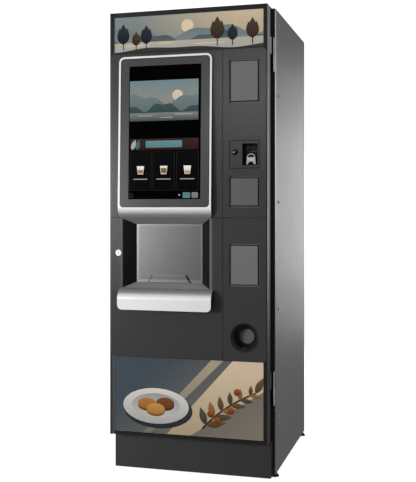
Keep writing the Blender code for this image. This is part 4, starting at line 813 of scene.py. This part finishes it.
def leaf(base, tip, width, aspect, steps=10):
    """Pointed oval from base to tip."""
    along = Vector(((tip[0] - base[0]) * aspect, tip[1] - base[1]))
    across = Vector((-along.y, along.x)).normalized()
    sides = ([], [])
    for i in range(steps + 1):
        share = i / steps
        bow = math.sin(math.pi * share ** 0.85) * width
        for side, sign in zip(sides, (1, -1)):
            point = along * share + across * bow * sign
            side.append((base[0] + point.x / aspect, base[1] + point.y))
    return sides[0] + sides[1][-2:0:-1]


def hills(base, height, waves, phase, steps=48):
    """Land under a line of soft hills, over the whole width."""
    line = []
    for u in (i / steps for i in range(steps + 1)):
        wave = waves * math.tau * u
        swell = math.sin(wave + phase) + 0.5 * math.sin(2.3 * wave + 2 * phase)
        line.append((u, base + height * (0.5 + swell / 3)))
    return [(0.0, 0.0), *line, (1.0, 0.0)]


class DRINK_OT_stage(Operator):
    """Camera of the photograph, pale floor and wall, and soft lights"""

    bl_idname = "drink.stage"
    bl_label = "Stage"

    def execute(self, context):
        stage = context.scene.drink_stage
        camera = bpy.data.cameras.new("photo_camera")
        camera.sensor_fit = "VERTICAL"
        camera.sensor_height = CAMERA_SENSOR
        camera.lens = CAMERA_LENS
        camera.shift_y = CAMERA_SHIFT
        camera.clip_end = 50.0
        turn = (math.pi / 2, 0, math.radians(CAMERA_TURN))
        context.scene.camera = self.hold("photo_camera", camera, CAMERA_PLACE, turn)
        context.scene.view_settings.view_transform = "Standard"
        self.backdrop(stage)
        for name, (place, aim, size, level, share) in LIGHTS.items():
            lamp = bpy.data.lights.new(name, "AREA")
            lamp.shape = "RECTANGLE"
            lamp.size, lamp.size_y = size
            lamp.energy = getattr(stage, level) * share
            turn = (Vector(aim) - Vector(place)).to_track_quat("-Z", "Y").to_euler()
            self.hold(name, lamp, place, turn).visible_camera = False
        world = bpy.data.worlds.new("studio")
        world.use_nodes = True
        sky = world.node_tree.nodes["Background"].inputs
        sky["Color"].default_value = (1.0, 1.0, 1.0, 1.0)
        sky["Strength"].default_value = stage.world
        context.scene.world = world
        return {"FINISHED"}

    def hold(self, name, data, place=(0, 0, 0), turn=(0, 0, 0)):
        holder = bpy.data.objects.new(name, data)
        holder.location = place
        holder.rotation_euler = turn
        bpy.context.scene.collection.objects.link(holder)
        return holder

    def backdrop(self, stage):
        """Floor that curves up into a wall far behind."""
        half, front, back, bend, top, steps = 8.0, -7.0, 5.0, 1.5, 6.0, 8
        angles = [i * math.pi / 2 / steps for i in range(1, steps + 1)]
        line = [(front, 0.0), (back, 0.0)]
        line += [(back + bend * math.sin(a), bend - bend * math.cos(a)) for a in angles]
        line.append((back + bend, top))
        verts = [(x, y, z) for y, z in line for x in (-half, half)]
        faces = [(2 * i, 2 * i + 1, 2 * i + 3, 2 * i + 2) for i in range(len(line) - 1)]
        mesh = bpy.data.meshes.new("studio_floor")
        mesh.from_pydata(verts, [], faces)
        coat = Coat("studio_pale")
        coat.set(Base_Color=coat.cloudy(stage.floor, 0.01, 0.5), Roughness=0.9)
        coat.set(Emission_Color=(1.0, 1.0, 1.0), Emission_Strength=0.9)
        mesh.materials.append(coat.material)
        floor = self.hold("studio_floor", mesh)
        floor.visible_glossy = False
        floor.visible_diffuse = False


class DRINK_OT_finish_cabinet(Operator):
    """Finishes of the cabinet, its hinges, plinth and feet"""

    bl_idname = "drink.finish_cabinet"
    bl_label = "Cabinet finishes"

    def execute(self, context):
        give_finishes(CABINET_FINISHES)
        return {"FINISHED"}


class DRINK_OT_finish_door(Operator):
    """Finishes of the door and what it carries"""

    bl_idname = "drink.finish_door"
    bl_label = "Door finishes"

    def execute(self, context):
        give_finishes(DOOR_FINISHES)
        return {"FINISHED"}


class DRINK_OT_finish_modules(Operator):
    """Finishes of the modules inside the cabinet"""

    bl_idname = "drink.finish_modules"
    bl_label = "Module finishes"

    def execute(self, context):
        give_finishes(MODULE_FINISHES)
        return {"FINISHED"}


class DRINK_OT_display(Operator):
    """Plain drink menu on the screen: banner, strip, three tiles and a bottom row"""

    bl_idname = "drink.display"
    bl_label = "Display"

    def execute(self, context):
        screen = context.scene.drink_screen
        menu = screen_print()
        wide = menu.aspect
        self.banner(menu)
        menu.add(box_outline(0.017, 0.366, 0.973, 0.451), screen.strip, shade(screen.strip, 1.8))
        for u, width, tint in ((0.045, 0.05, (0.40, 0.37, 0.33)), (0.115, 0.03, (0.03, 0.14, 0.15))):
            menu.add(leaf((u, 0.37), (u + width, 0.447), 0.018, wide), tint)
        menu.add(pill(0.240, 0.384, 0.747, 0.436, wide, 0.16), screen.accent, shade(screen.accent, 1.25))
        for number, (fill, warmth) in enumerate(((0.55, 1.0), (0.75, 0.6), (0.40, 1.4))):
            self.tile(menu, screen, 0.017 + 0.3265 * number, fill, shade(screen.warm, warmth))
        self.bottom_row(menu, screen)
        menu.piece("display_menu", "screen_print", "screen_glass")
        return {"FINISHED"}

    def banner(self, menu):
        """Hills over still water."""
        left, bottom, right, top = 0.009, 0.585, 0.967, 0.889

        def draw(points, *tints, same_layer=False):
            placed = [(left + (right - left) * u, bottom + (top - bottom) * v) for u, v in points]
            menu.add(placed, *tints, same_layer=same_layer)

        draw(box_outline(0.0, 0.0, 1.0, 1.0), (0.34, 0.26, 0.18), (0.15, 0.23, 0.25))
        draw(oval((0.70, 0.62), 0.075, 0.13), (0.62, 0.52, 0.36))
        draw(hills(0.40, 0.30, 1.2, 0.6), (0.09, 0.12, 0.12), (0.15, 0.20, 0.21))
        draw(hills(0.22, 0.26, 1.7, 2.6), (0.026, 0.042, 0.040), (0.05, 0.085, 0.080))
        draw(box_outline(0.0, 0.0, 1.0, 0.20), (0.045, 0.07, 0.08), (0.20, 0.21, 0.20))
        for u, v, width in ((0.12, 0.12, 0.22), (0.45, 0.07, 0.18), (0.66, 0.14, 0.26)):
            draw(pill(u, v, u + width, v + 0.018, 4.0), (0.40, 0.36, 0.29), same_layer=u > 0.2)

    def tile(self, menu, screen, left, fill, warm):
        """One drink tile: thin outline, cup drawing and a plain bar for its name."""
        bottom, top, width, line = 0.063, 0.356, 0.305, 0.004
        wide, sill = menu.aspect, line * menu.aspect / 2
        menu.add(pill(left, bottom, left + width, top, wide, 0.02), screen.line)
        inner = (left + line, bottom + sill, left + width - line, top - sill)
        menu.add(pill(*inner, wide, 0.02), screen.tile, shade(screen.tile, 2.5))
        middle, foot, half, height = left + width / 2, 0.185, 0.052, 0.062

        def cup(low, high, base, head):
            return [(middle - base, low), (middle + base, low), (middle + head, high), (middle - head, high)]

        menu.add(cup(foot, foot + height, half * 0.72, half), (0.55, 0.55, 0.53), (0.80, 0.80, 0.78))
        level = half * (0.72 + 0.28 * fill) * 0.86
        menu.add(cup(foot + 0.008, foot + height * fill, half * 0.62, level), shade(warm, 0.7), warm)
        menu.add(pill(middle - 0.10, 0.145, middle + 0.10, 0.153, wide), (0.30, 0.30, 0.30))

    def bottom_row(self, menu, screen):
        """Round button, small arrow, rounded bar and a plain chip."""
        wide, button = menu.aspect, (0.041, 0.028)
        menu.add(oval(button, 0.030, 0.030 * wide), (0.035, 0.035, 0.036))
        menu.add(oval(button, 0.023, 0.023 * wide), screen.tile)
        menu.add([(0.70, 0.034), (0.715, 0.021), (0.73, 0.034)], (0.50, 0.50, 0.50))
        menu.add(pill(0.762, 0.007, 0.866, 0.049, wide, 0.16), screen.accent, same_layer=True)
        menu.add(pill(0.884, 0.007, 0.972, 0.049, wide, 0.2), (0.15, 0.155, 0.165), (0.22, 0.225, 0.24), True)


class DRINK_OT_top_picture(Operator):
    """Lake and hills in the picture panel over the fascia"""

    bl_idname = "drink.top_picture"
    bl_label = "Top picture"

    def execute(self, context):
        view = picture_print("top_picture")
        wide, columns = view.aspect, 12

        def sky(u, v):
            warm = min(1.0, max(0.0, (u - 0.15) / 0.7))
            return [value * (0.8 + 0.4 * v) for value in blend(warm, (0.19, 0.22, 0.22), (0.52, 0.42, 0.29))]

        for i in range(columns):
            view.add(box_outline(i / columns, 0.0, (i + 1) / columns, 1.0), sky, same_layer=i > 0)
        view.add(oval((0.50, 0.68), 0.17 / wide, 0.17), (0.74, 0.60, 0.42))
        view.add(hills(0.36, 0.34, 1.6, 1.0), (0.24, 0.28, 0.28), (0.15, 0.20, 0.21))
        view.add(hills(0.24, 0.30, 2.3, 4.0), (0.16, 0.19, 0.19), (0.06, 0.09, 0.10))
        view.add(box_outline(0.0, 0.0, 1.0, 0.30), (0.36, 0.40, 0.41), (0.50, 0.42, 0.33))
        for u, v, width in ((0.08, 0.20, 0.16), (0.30, 0.24, 0.10), (0.55, 0.18, 0.20)):
            view.add(pill(u, v, u + width, v + 0.02, wide), (0.70, 0.62, 0.50), same_layer=u > 0.1)
        view.add(hills(0.04, 0.12, 1.1, 5.4), (0.030, 0.026, 0.024), (0.060, 0.050, 0.040))
        grove = ((0.06, 0.72), (0.15, 0.50), (0.22, 0.66), (0.70, 0.78), (0.80, 0.56), (0.93, 0.70))
        for number, (u, height) in enumerate(grove):
            self.tree(view, u, height, ((0.012, 0.015, 0.020), (0.032, 0.020, 0.013))[number % 2])
        view.piece("top_print", "panel_print", "picture_panel")
        return {"FINISHED"}

    def tree(self, view, u, height, tint):
        """Trunk under a crown of three leaves' outlines."""
        foot, wide = 0.10, view.aspect
        thin = 0.012 / wide
        view.add(box_outline(u - thin, foot, u + thin, foot + height * 0.5), tint)
        for lean in (-0.16, 0.0, 0.16):
            tip = (u + lean * height / wide, foot + height * (1.0 - abs(lean)))
            view.add(leaf((u, foot + height * 0.22), tip, 0.17 * height, wide), tint, shade(tint, 2.4))


class DRINK_OT_lower_picture(Operator):
    """Table with a plate of biscuits and a leafy branch in the lower picture panel"""

    bl_idname = "drink.lower_picture"
    bl_label = "Lower picture"

    def execute(self, context):
        view = picture_print("lower_picture")
        columns, rows = 10, 4

        def ground(u, v):
            warm = min(1.0, max(0.0, 0.9 * u - 0.5 * (v - 0.3)))
            return blend(warm, (0.062, 0.080, 0.098), (0.22, 0.19, 0.15))

        for i in range(columns):
            for j in range(rows):
                cell = box_outline(i / columns, j / rows, (i + 1) / columns, (j + 1) / rows)
                view.add(cell, ground, same_layer=i + j > 0)
        cloth = [(0.36, 0.0), (0.52, 0.0), (1.0, 0.62), (1.0, 1.0), (0.80, 1.0)]
        view.add(cloth, (0.42, 0.33, 0.22), (0.68, 0.54, 0.38))
        stripe = [(0.20, 0.0), (0.25, 0.0), (0.74, 1.0), (0.66, 1.0)]
        view.add(stripe, (0.20, 0.17, 0.13), (0.42, 0.34, 0.25), True)
        self.plate(view)
        self.branch(view)
        view.piece("lower_print", "panel_print", "picture_panel")
        return {"FINISHED"}

    def plate(self, view):
        """White plate with three round biscuits, seen from above at a slant."""
        u, v = 0.285, 0.36
        shadow = oval((u + 0.015, v - 0.05), 0.235, 0.245, steps=48)
        view.add(shadow, (0.025, 0.028, 0.032), (0.05, 0.05, 0.05))
        view.add(oval((u, v), 0.225, 0.235, steps=48), (0.40, 0.40, 0.40), (0.70, 0.67, 0.62))
        view.add(oval((u, v + 0.008), 0.165, 0.160, steps=48), (0.52, 0.50, 0.48), (0.34, 0.33, 0.32))
        for right, up, tint in (
            (-0.06, 0.03, (0.36, 0.16, 0.035)),
            (0.065, 0.045, (0.16, 0.06, 0.02)),
            (0.0, -0.035, (0.46, 0.23, 0.06)),
        ):
            for drop, low, high in ((0.03, 0.40, 0.65), (0.0, 0.85, 1.25)):
                biscuit = oval((u + right, v + up - drop), 0.062, 0.072)
                view.add(biscuit, shade(tint, low), shade(tint, high))

    def branch(self, view):
        """Stem with pairs of leaves and a few berries."""
        wide, thin, steps = view.aspect, 0.009, 12
        start, bend, end = Vector((0.60, 0.10)), Vector((0.74, 0.42)), Vector((0.95, 0.60))
        shares = [i / steps for i in range(steps + 1)]
        line = [start * (1 - s) ** 2 + bend * 2 * s * (1 - s) + end * s ** 2 for s in shares]
        lower = [(p.x + thin / wide, p.y - thin) for p in line]
        upper = [(p.x - thin / wide, p.y + thin) for p in line]
        view.add(lower + upper[::-1], (0.04, 0.02, 0.012), (0.09, 0.045, 0.022))
        tints = ((0.085, 0.045, 0.020), (0.045, 0.048, 0.032), (0.17, 0.085, 0.030))
        for number, point in enumerate(line[1:-1:2]):
            for side in (1, -1):
                size = 0.24 - 0.022 * number
                ahead = math.radians(58 - 4 * number + side * 48)
                tip = (point.x + size * math.cos(ahead) / wide * 1.15, point.y + size * math.sin(ahead))
                tint = tints[(number + (side > 0)) % 3]
                view.add(leaf(point, tip, size * 0.20, wide), tint, shade(tint, 1.9))
        view.add(leaf(line[-1], (1.0, 0.80), 0.045, wide), tints[0], (0.17, 0.09, 0.04))
        for berry in ((0.655, 0.30), (0.70, 0.22), (0.79, 0.36), (0.83, 0.60)):
            view.add(oval(berry, 0.045 / wide, 0.045), (0.10, 0.025, 0.012), (0.34, 0.10, 0.03))


SOCKET_OF = {float: "Float", int: "Int", tuple: "Vector", bpy.types.Material: "Material"}


class Tree:
    """Geometry nodes that put one shape on many places, with named inputs for its sizes and its finish."""

    def __init__(self, name, **inputs):
        self.inputs = inputs
        self.group = bpy.data.node_groups.new(name, "GeometryNodeTree")
        sockets = {"Places": "Geometry", **{label: SOCKET_OF[type(value)] for label, value in inputs.items()}}
        for label, kind in sockets.items():
            self.group.interface.new_socket(label, in_out="INPUT", socket_type=f"NodeSocket{kind}")
        self.group.interface.new_socket("Geometry", in_out="OUTPUT", socket_type="NodeSocketGeometry")
        given = add_node(self.group, "NodeGroupInput")
        self.given = {label: Wire(given[label]) for label in sockets}

    def add(self, kind, settings=(), inputs=(), outputs=(0,)):
        """Wire from a new node, or one for each of the outputs that are named."""
        sockets = add_node(self.group, kind, settings, inputs)
        wires = [Wire(sockets[output]) for output in outputs]
        return wires if len(wires) > 1 else wires[0]

    def push(self, mesh, faces, distance):
        """Mesh with some faces pushed out, and a choice of those faces and of the new sides."""
        inputs = {"Mesh": mesh, "Selection": faces, "Offset Scale": distance, "Individual": False}
        return self.add("GeometryNodeExtrudeMesh", {"mode": "FACES"}, inputs, ("Mesh", "Top", "Side"))

    def shrink(self, mesh, faces, share):
        inputs = {"Geometry": mesh, "Selection": faces, "Scale": share}
        return self.add("GeometryNodeScaleElements", {"domain": "FACE"}, inputs)

    def mark_shade(self, mesh, faces):
        """Mark some faces as dark, for the painted shade in the finish."""
        inputs = {"Geometry": mesh, "Selection": faces, "Name": "dark", "Value": 1.0}
        settings = {"data_type": "FLOAT", "domain": "FACE"}
        return self.add("GeometryNodeStoreNamedAttribute", settings, inputs)

    def close(self, shape, **inputs):
        """The shape on every point. Realize Instances and Set Material end every tree."""
        inputs = {"Points": self.given["Places"], "Instance": shape, **inputs}
        copies = self.add("GeometryNodeInstanceOnPoints", (), inputs)
        real = self.add("GeometryNodeRealizeInstances", (), {0: copies})
        inputs = {"Geometry": real, "Material": self.given["Finish"]}
        coated = self.add("GeometryNodeSetMaterial", (), inputs)
        add_node(self.group, "NodeGroupOutput", (), {0: coated})

    def grow(self, name, places, ways=()):
        """Plain mesh that the tree makes on some places, each with the way that its shape faces."""
        mesh = bpy.data.meshes.new(name)
        mesh.from_pydata(places, [], [])
        if ways:
            facing = mesh.attributes.new("facing", "FLOAT_VECTOR", "POINT")
            for spot, way in zip(facing.data, ways):
                spot.vector = way
        seed = bpy.data.objects.new(name, mesh)
        modifier = seed.modifiers.new("Grow", "NODES")
        modifier.node_group = self.group
        for item in self.group.interface.items_tree:
            if item.in_out == "INPUT" and item.name in self.inputs:
                modifier[item.identifier] = self.inputs[item.name]
        grown = plain_mesh(seed)
        bpy.data.meshes.remove(mesh)
        return grown


def plain_mesh(seed):
    """Mesh of an object with its modifiers, after which the object is removed."""
    bpy.context.scene.collection.objects.link(seed)
    graph = bpy.context.evaluated_depsgraph_get()
    mesh = bpy.data.meshes.new_from_object(seed.evaluated_get(graph))
    seed.modifiers.clear()
    bpy.data.objects.remove(seed)
    return mesh


def screw_tree(sizes):
    """Pan head with a round socket, turned to the way it faces."""
    finish = finishes()["screw"]
    tree = Tree("panel_screw", Radius=sizes.screw_radius, Height=sizes.screw_height, Finish=finish)
    radius, height = tree.given["Radius"], tree.given["Height"]
    foot = {"Vertices": 16, "Radius": radius, "Depth": height}
    mesh, top, side = tree.add("GeometryNodeMeshCylinder", (), foot, ("Mesh", "Top", "Side"))
    # The foot's sides are marked for painted shade
    mesh, collar, _ = tree.push(tree.mark_shade(mesh, side), top, height)
    mesh, dome, _ = tree.push(mesh, collar, SCREW_DOME)
    mesh, socket, _ = tree.push(tree.shrink(mesh, dome, 0.7), dome, 0.0)
    mesh, floor, walls = tree.push(tree.shrink(mesh, socket, 0.45), socket, -SCREW_SOCKET)
    # The socket's floor and walls are marked for painted shade
    mesh = tree.mark_shade(tree.mark_shade(mesh, floor), walls)
    facing = tree.add("GeometryNodeInputNamedAttribute", {"data_type": "FLOAT_VECTOR"}, {"Name": "facing"})
    turn = tree.add("FunctionNodeAlignRotationToVector", {"axis": "Z"}, {"Vector": facing})
    tree.close(mesh, Rotation=turn)
    return tree


class DRINK_OT_screws(Operator):
    """Panel screws on the cabinet's sides and back and on the door's back cover"""

    bl_idname = "drink.screws"
    bl_label = "Screws"

    def execute(self, context):
        sizes = context.scene.drink_sizes
        tree = screw_tree(sizes)
        lift = sizes.screw_height / 2 - SCREW_SINK
        right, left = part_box("side_panel_right")[1].x + lift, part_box("side_panel_left")[0].x - lift
        spots = [((right, y, z), (1, 0, 0)) for y, z in SIDE_SCREWS]
        spots += [((left, y, z), (-1, 0, 0)) for y, z in SIDE_SCREWS]
        low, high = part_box("back_panel")
        rows = (low.z + 0.03, 0.62, 1.22, high.z - 0.03)
        spots += self.back_spots((low.x + 0.02, 0.0, high.x - 0.02), rows, high.y + lift)
        self.add(tree, "cabinet", spots)
        low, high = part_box("door_back")
        columns = (low.x + 0.035, high.x - 0.035)
        self.add(tree, "door", self.back_spots(columns, (0.25, 0.62, 1.30, 1.70), high.y + lift))
        return {"FINISHED"}

    def back_spots(self, columns, rows, y):
        return [((x, y, z), (0, 1, 0)) for x in columns for z in rows]

    def add(self, tree, body, spots):
        name = f"{body}_screws"
        add_piece(name, tree.grow(name, *zip(*spots)), "screw", body)


class DRINK_OT_cups(Operator):
    """Stack of paper cups in the cup column"""

    bl_idname = "drink.cups"
    bl_label = "Cups"

    def execute(self, context):
        sizes = context.scene.drink_sizes
        tree = Tree("paper_cup", Rim=sizes.cup_radius, Height=sizes.cup_height, Finish=finishes()["cups"])
        rim, height, taper = tree.given["Rim"], tree.given["Height"], 0.72
        cup = {"Vertices": 28, "Radius Top": rim, "Radius Bottom": rim * taper, "Depth": height}
        mesh, top = tree.add("GeometryNodeMeshCone", (), cup, ("Mesh", "Top"))
        mesh, lip, _ = tree.push(mesh, top, 0.0)
        mesh, well, _ = tree.push(tree.shrink(mesh, lip, 0.95), lip, height * -0.96)
        tree.close(tree.shrink(mesh, well, taper))
        low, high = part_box("cup_drop_ring")
        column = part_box("cup_column")[0]
        x, y, z = (low.x + high.x) / 2, column.y + 0.050, column.z + 0.012
        places = [(x, y, z + i * sizes.cup_pitch) for i in range(sizes.cup_count)]
        add_piece("cup_stack", tree.grow("cup_stack", places), "cups", "cabinet")
        return {"FINISHED"}


class DRINK_OT_grille(Operator):
    """Drip grille on the cup shelf"""

    bl_idname = "drink.grille"
    bl_label = "Drip grille"

    def execute(self, context):
        sizes = context.scene.drink_sizes
        low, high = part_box("cup_shelf")
        front, back, rail, edge = low.y + 0.012, low.y + 0.190, 0.008, 0.0008
        finish, span = finishes()["steel"], back - front
        tree = Tree("drip_slat", Width=sizes.slat_width, Length=span, Height=0.003, Finish=finish)
        parts = {i: tree.given[label] for i, label in enumerate(("Width", "Length", "Height"))}
        size = tree.add("ShaderNodeCombineXYZ", (), parts)
        tree.close(tree.add("GeometryNodeMeshCube", (), {"Size": size}))
        number = int((high.x - low.x - 0.06) / sizes.slat_pitch)
        middle, y, z = (low.x + high.x) / 2, (front + back) / 2, high.z + 0.0052
        places = [(middle + (i - (number - 1) / 2) * sizes.slat_pitch, y, z) for i in range(number)]
        shape = bmesh.new()
        shape.from_mesh(tree.grow("drip_grille", places))
        half = (number - 1) / 2 * sizes.slat_pitch + sizes.slat_width
        for start in (front, back - rail):
            foot = (middle - half, start, high.z + 0.0003)
            add_box(shape, foot, (middle + half, start + rail, z - 0.0014), edge)
        add_piece("drip_grille", mesh_from(shape), "steel", "cabinet")
        return {"FINISHED"}


class DRINK_OT_beans(Operator):
    """Roasted beans in the hopper"""

    bl_idname = "drink.beans"
    bl_label = "Beans"

    def execute(self, context):
        sizes = context.scene.drink_sizes
        low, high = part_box("bean_hopper")
        wall, margin, layer, level = 0.0045, 0.012, 0.004, low.z + 0.175
        shape = bmesh.new()
        foot = (low.x + wall, low.y + wall, low.z + wall)
        add_box(shape, foot, (high.x - wall, high.y - wall, level), 0.003)
        tree = Tree(
            "loose_beans",
            Bean=sizes.bean_length,
            Count=sizes.bean_count,
            Low=(low.x + margin, low.y + margin, level - layer),
            High=(high.x - margin, high.y - margin, level + layer),
            Finish=finishes()["beans"],
        )
        given, vectors = tree.given, {"data_type": "FLOAT_VECTOR"}
        spots = tree.add("FunctionNodeRandomValue", vectors, {0: given["Low"], 1: given["High"], "Seed": 7})
        points = tree.add("GeometryNodePoints", (), {"Count": given["Count"], "Position": spots})
        tilt = {0: (-0.6, -0.6, 0.0), 1: (0.6, 0.6, math.tau), "Seed": 11}
        turns = tree.add("FunctionNodeRandomValue", vectors, tilt)
        ball = tree.add("GeometryNodeMeshUVSphere", (), {"Segments": 8, "Rings": 6, "Radius": 0.5})
        size = {0: (1.0, 0.72, 0.52), "Scale": given["Bean"]}
        size = tree.add("ShaderNodeVectorMath", {"operation": "SCALE"}, size)
        bean = tree.add("GeometryNodeTransform", (), {"Geometry": ball, "Scale": size})
        tree.close(bean, Points=points, Rotation=turns)
        shape.from_mesh(tree.grow("loose_beans", [(0, 0, 0)]))
        add_piece("hopper_beans", mesh_from(shape), "beans", "cabinet")
        return {"FINISHED"}


class DRINK_OT_lids(Operator):
    """Lids on the powder canisters and the bean hopper"""

    bl_idname = "drink.lids"
    bl_label = "Lids"

    def execute(self, context):
        lap, wall = 0.002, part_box("module_wall")[0].y - 0.003
        for node, setback, finish, slot in (
            ("canister_1", 0.026, "plastic", "white_plastic"),
            ("canister_2", 0.026, "plastic", "white_plastic"),
            ("bean_hopper", 0.0, "smoked", "smoked_plastic"),
        ):
            low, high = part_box(node)
            front, back, middle, top = low.y + setback, min(high.y, wall), (low.x + high.x) / 2, high.z
            shape = bmesh.new()
            add_box(shape, (low.x - lap, front - lap, top + 0.0004), (high.x + lap, back, top + 0.011), 0.003)
            knob = (middle - 0.02, front + 0.02, top + 0.0112)
            add_box(shape, knob, (middle + 0.02, front + 0.032, top + 0.019), 0.002)
            add_piece(f"{node}_lid", mesh_from(shape), finish, "cabinet")
        return {"FINISHED"}


class DRINK_OT_pipes(Operator):
    """Rigid pipes from the bowl and the brewer to the nozzles"""

    bl_idname = "drink.pipes"
    bl_label = "Pipes"

    def execute(self, context):
        bowl, bowl_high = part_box("mixing_bowl")
        nozzle, nozzle_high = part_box("nozzle_block")
        brewer, brewer_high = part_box("brewer_frame")
        bowl_x, bowl_y = (bowl.x + bowl_high.x) / 2, bowl.y + 0.075
        routes = {
            "mixer_pipe": [
                (bowl_x - 0.028, bowl_y, bowl.z + 0.010),
                (bowl_x - 0.060, bowl_y, bowl.z + 0.002),
                (bowl_x - 0.130, bowl_y + 0.03, bowl.z - 0.060),
                (nozzle_high.x - 0.016, nozzle.y + 0.04, nozzle_high.z + 0.05),
                (nozzle_high.x - 0.016, nozzle.y + 0.04, nozzle_high.z - 0.002),
            ],
            "brew_pipe": [
                (brewer_high.x - 0.016, brewer.y + 0.045, brewer.z + 0.02),
                (brewer_high.x + 0.012, brewer.y + 0.055, brewer.z + 0.03),
                (brewer_high.x + 0.022, brewer.y + 0.055, nozzle_high.z + 0.01),
                (nozzle.x + 0.016, nozzle.y + 0.06, nozzle_high.z + 0.03),
                (nozzle.x + 0.016, nozzle.y + 0.06, nozzle_high.z - 0.002),
            ],
        }
        for name, points in routes.items():
            mesh = self.pipe(points, context.scene.drink_sizes.pipe_radius)
            add_piece(name, mesh, "steel", "cabinet")
        return {"FINISHED"}

    def pipe(self, points, radius):
        """Round pipe through some points."""
        curve = bpy.data.curves.new("pipe", "CURVE")
        curve.dimensions = "3D"
        curve.bevel_depth = radius
        curve.bevel_resolution = 3
        curve.use_fill_caps = True
        knots = curve.splines.new("BEZIER").bezier_points
        knots.add(len(points) - 1)
        for knot, point in zip(knots, points):
            knot.co = point
            knot.handle_left_type = knot.handle_right_type = "AUTO"
        mesh = plain_mesh(bpy.data.objects.new("pipe", curve))
        bpy.data.curves.remove(curve)
        for face in mesh.polygons:
            face.use_smooth = True
        return mesh


class DRINK_OT_door_edge(Operator):
    """Edge moulding along the free side of the door"""

    bl_idname = "drink.door_edge"
    bl_label = "Door edge"

    def execute(self, context):
        low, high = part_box("door_frame")
        gap, lap, depth = 0.0003, 0.0022, 0.012
        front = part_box("screen_fascia")[0].y + 0.0015
        inner, turn = low.x - gap, low.y - gap
        outer = inner - context.scene.drink_sizes.door_edge
        outline = [(outer, front), (low.x + lap, front), (low.x + lap, turn), (inner, turn)]
        outline += [(inner, turn + depth), (outer, turn + depth)]
        shape = bmesh.new()
        add_prism(shape, outline, low.z, high.z - 0.0005)
        add_piece("door_edge", mesh_from(shape), "door_edge", "door")
        return {"FINISHED"}


class DRINK_OT_coin_guides(Operator):
    """Small guides on the back of the coin window"""

    bl_idname = "drink.coin_guides"
    bl_label = "Coin guides"

    def execute(self, context):
        low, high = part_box("coin_entry")
        middle, back = (low.x + high.x) / 2, high.y
        shape = bmesh.new()
        bar = (middle - 0.016, back - 0.006, high.z + 0.005)
        add_box(shape, bar, (high.x + 0.006, back - 0.0001, high.z + 0.012), 0.0015)
        dome = bmesh.ops.create_uvsphere(shape, u_segments=20, v_segments=10, radius=1.0)["verts"]
        bmesh.ops.scale(shape, vec=(0.012, 0.005, 0.0055), verts=dome)
        bmesh.ops.translate(shape, vec=(high.x - 0.006, back - 0.0055, high.z + 0.026), verts=dome)
        add_piece("coin_guides", mesh_from(shape), "guides", "door")
        return {"FINISHED"}


OPERATORS = (
    DRINK_OT_stage,
    DRINK_OT_finish_cabinet,
    DRINK_OT_finish_door,
    DRINK_OT_finish_modules,
    DRINK_OT_display,
    DRINK_OT_top_picture,
    DRINK_OT_lower_picture,
    DRINK_OT_door_edge,
    DRINK_OT_coin_guides,
    DRINK_OT_screws,
    DRINK_OT_cups,
    DRINK_OT_grille,
    DRINK_OT_beans,
    DRINK_OT_lids,
    DRINK_OT_pipes,
)
GROUPS = {
    "drink_paints": DrinkMachinePaints,
    "drink_sizes": DrinkMachineSizes,
    "drink_screen": DrinkMachineScreen,
    "drink_stage": DrinkMachineStage,
}


class DRINK_PT_machine(Panel):
    """Every step of the drink machine's looks, in order"""

    bl_idname = "DRINK_PT_machine"
    bl_label = "Drink machine"
    bl_space_type = "VIEW_3D"
    bl_region_type = "UI"
    bl_category = "Drink Machine"

    def draw(self, context):
        for step in OPERATORS:
            self.layout.operator(step.bl_idname)
        for name in GROUPS:
            group = getattr(context.scene, name)
            box = self.layout.box()
            for key in group.__annotations__:
                box.prop(group, key)


def register():
    for kind in (*GROUPS.values(), *OPERATORS, DRINK_PT_machine):
        bpy.utils.register_class(kind)
    for name, kind in GROUPS.items():
        setattr(bpy.types.Scene, name, PointerProperty(type=kind))


def unregister():
    for name in GROUPS:
        delattr(bpy.types.Scene, name)
    for kind in reversed((*GROUPS.values(), *OPERATORS, DRINK_PT_machine)):
        bpy.utils.unregister_class(kind)


def main():
    register()
    for step in OPERATORS:
        group, name = step.bl_idname.split(".")
        getattr(getattr(bpy.ops, group), name)()


if __name__ == "__main__":
    main()
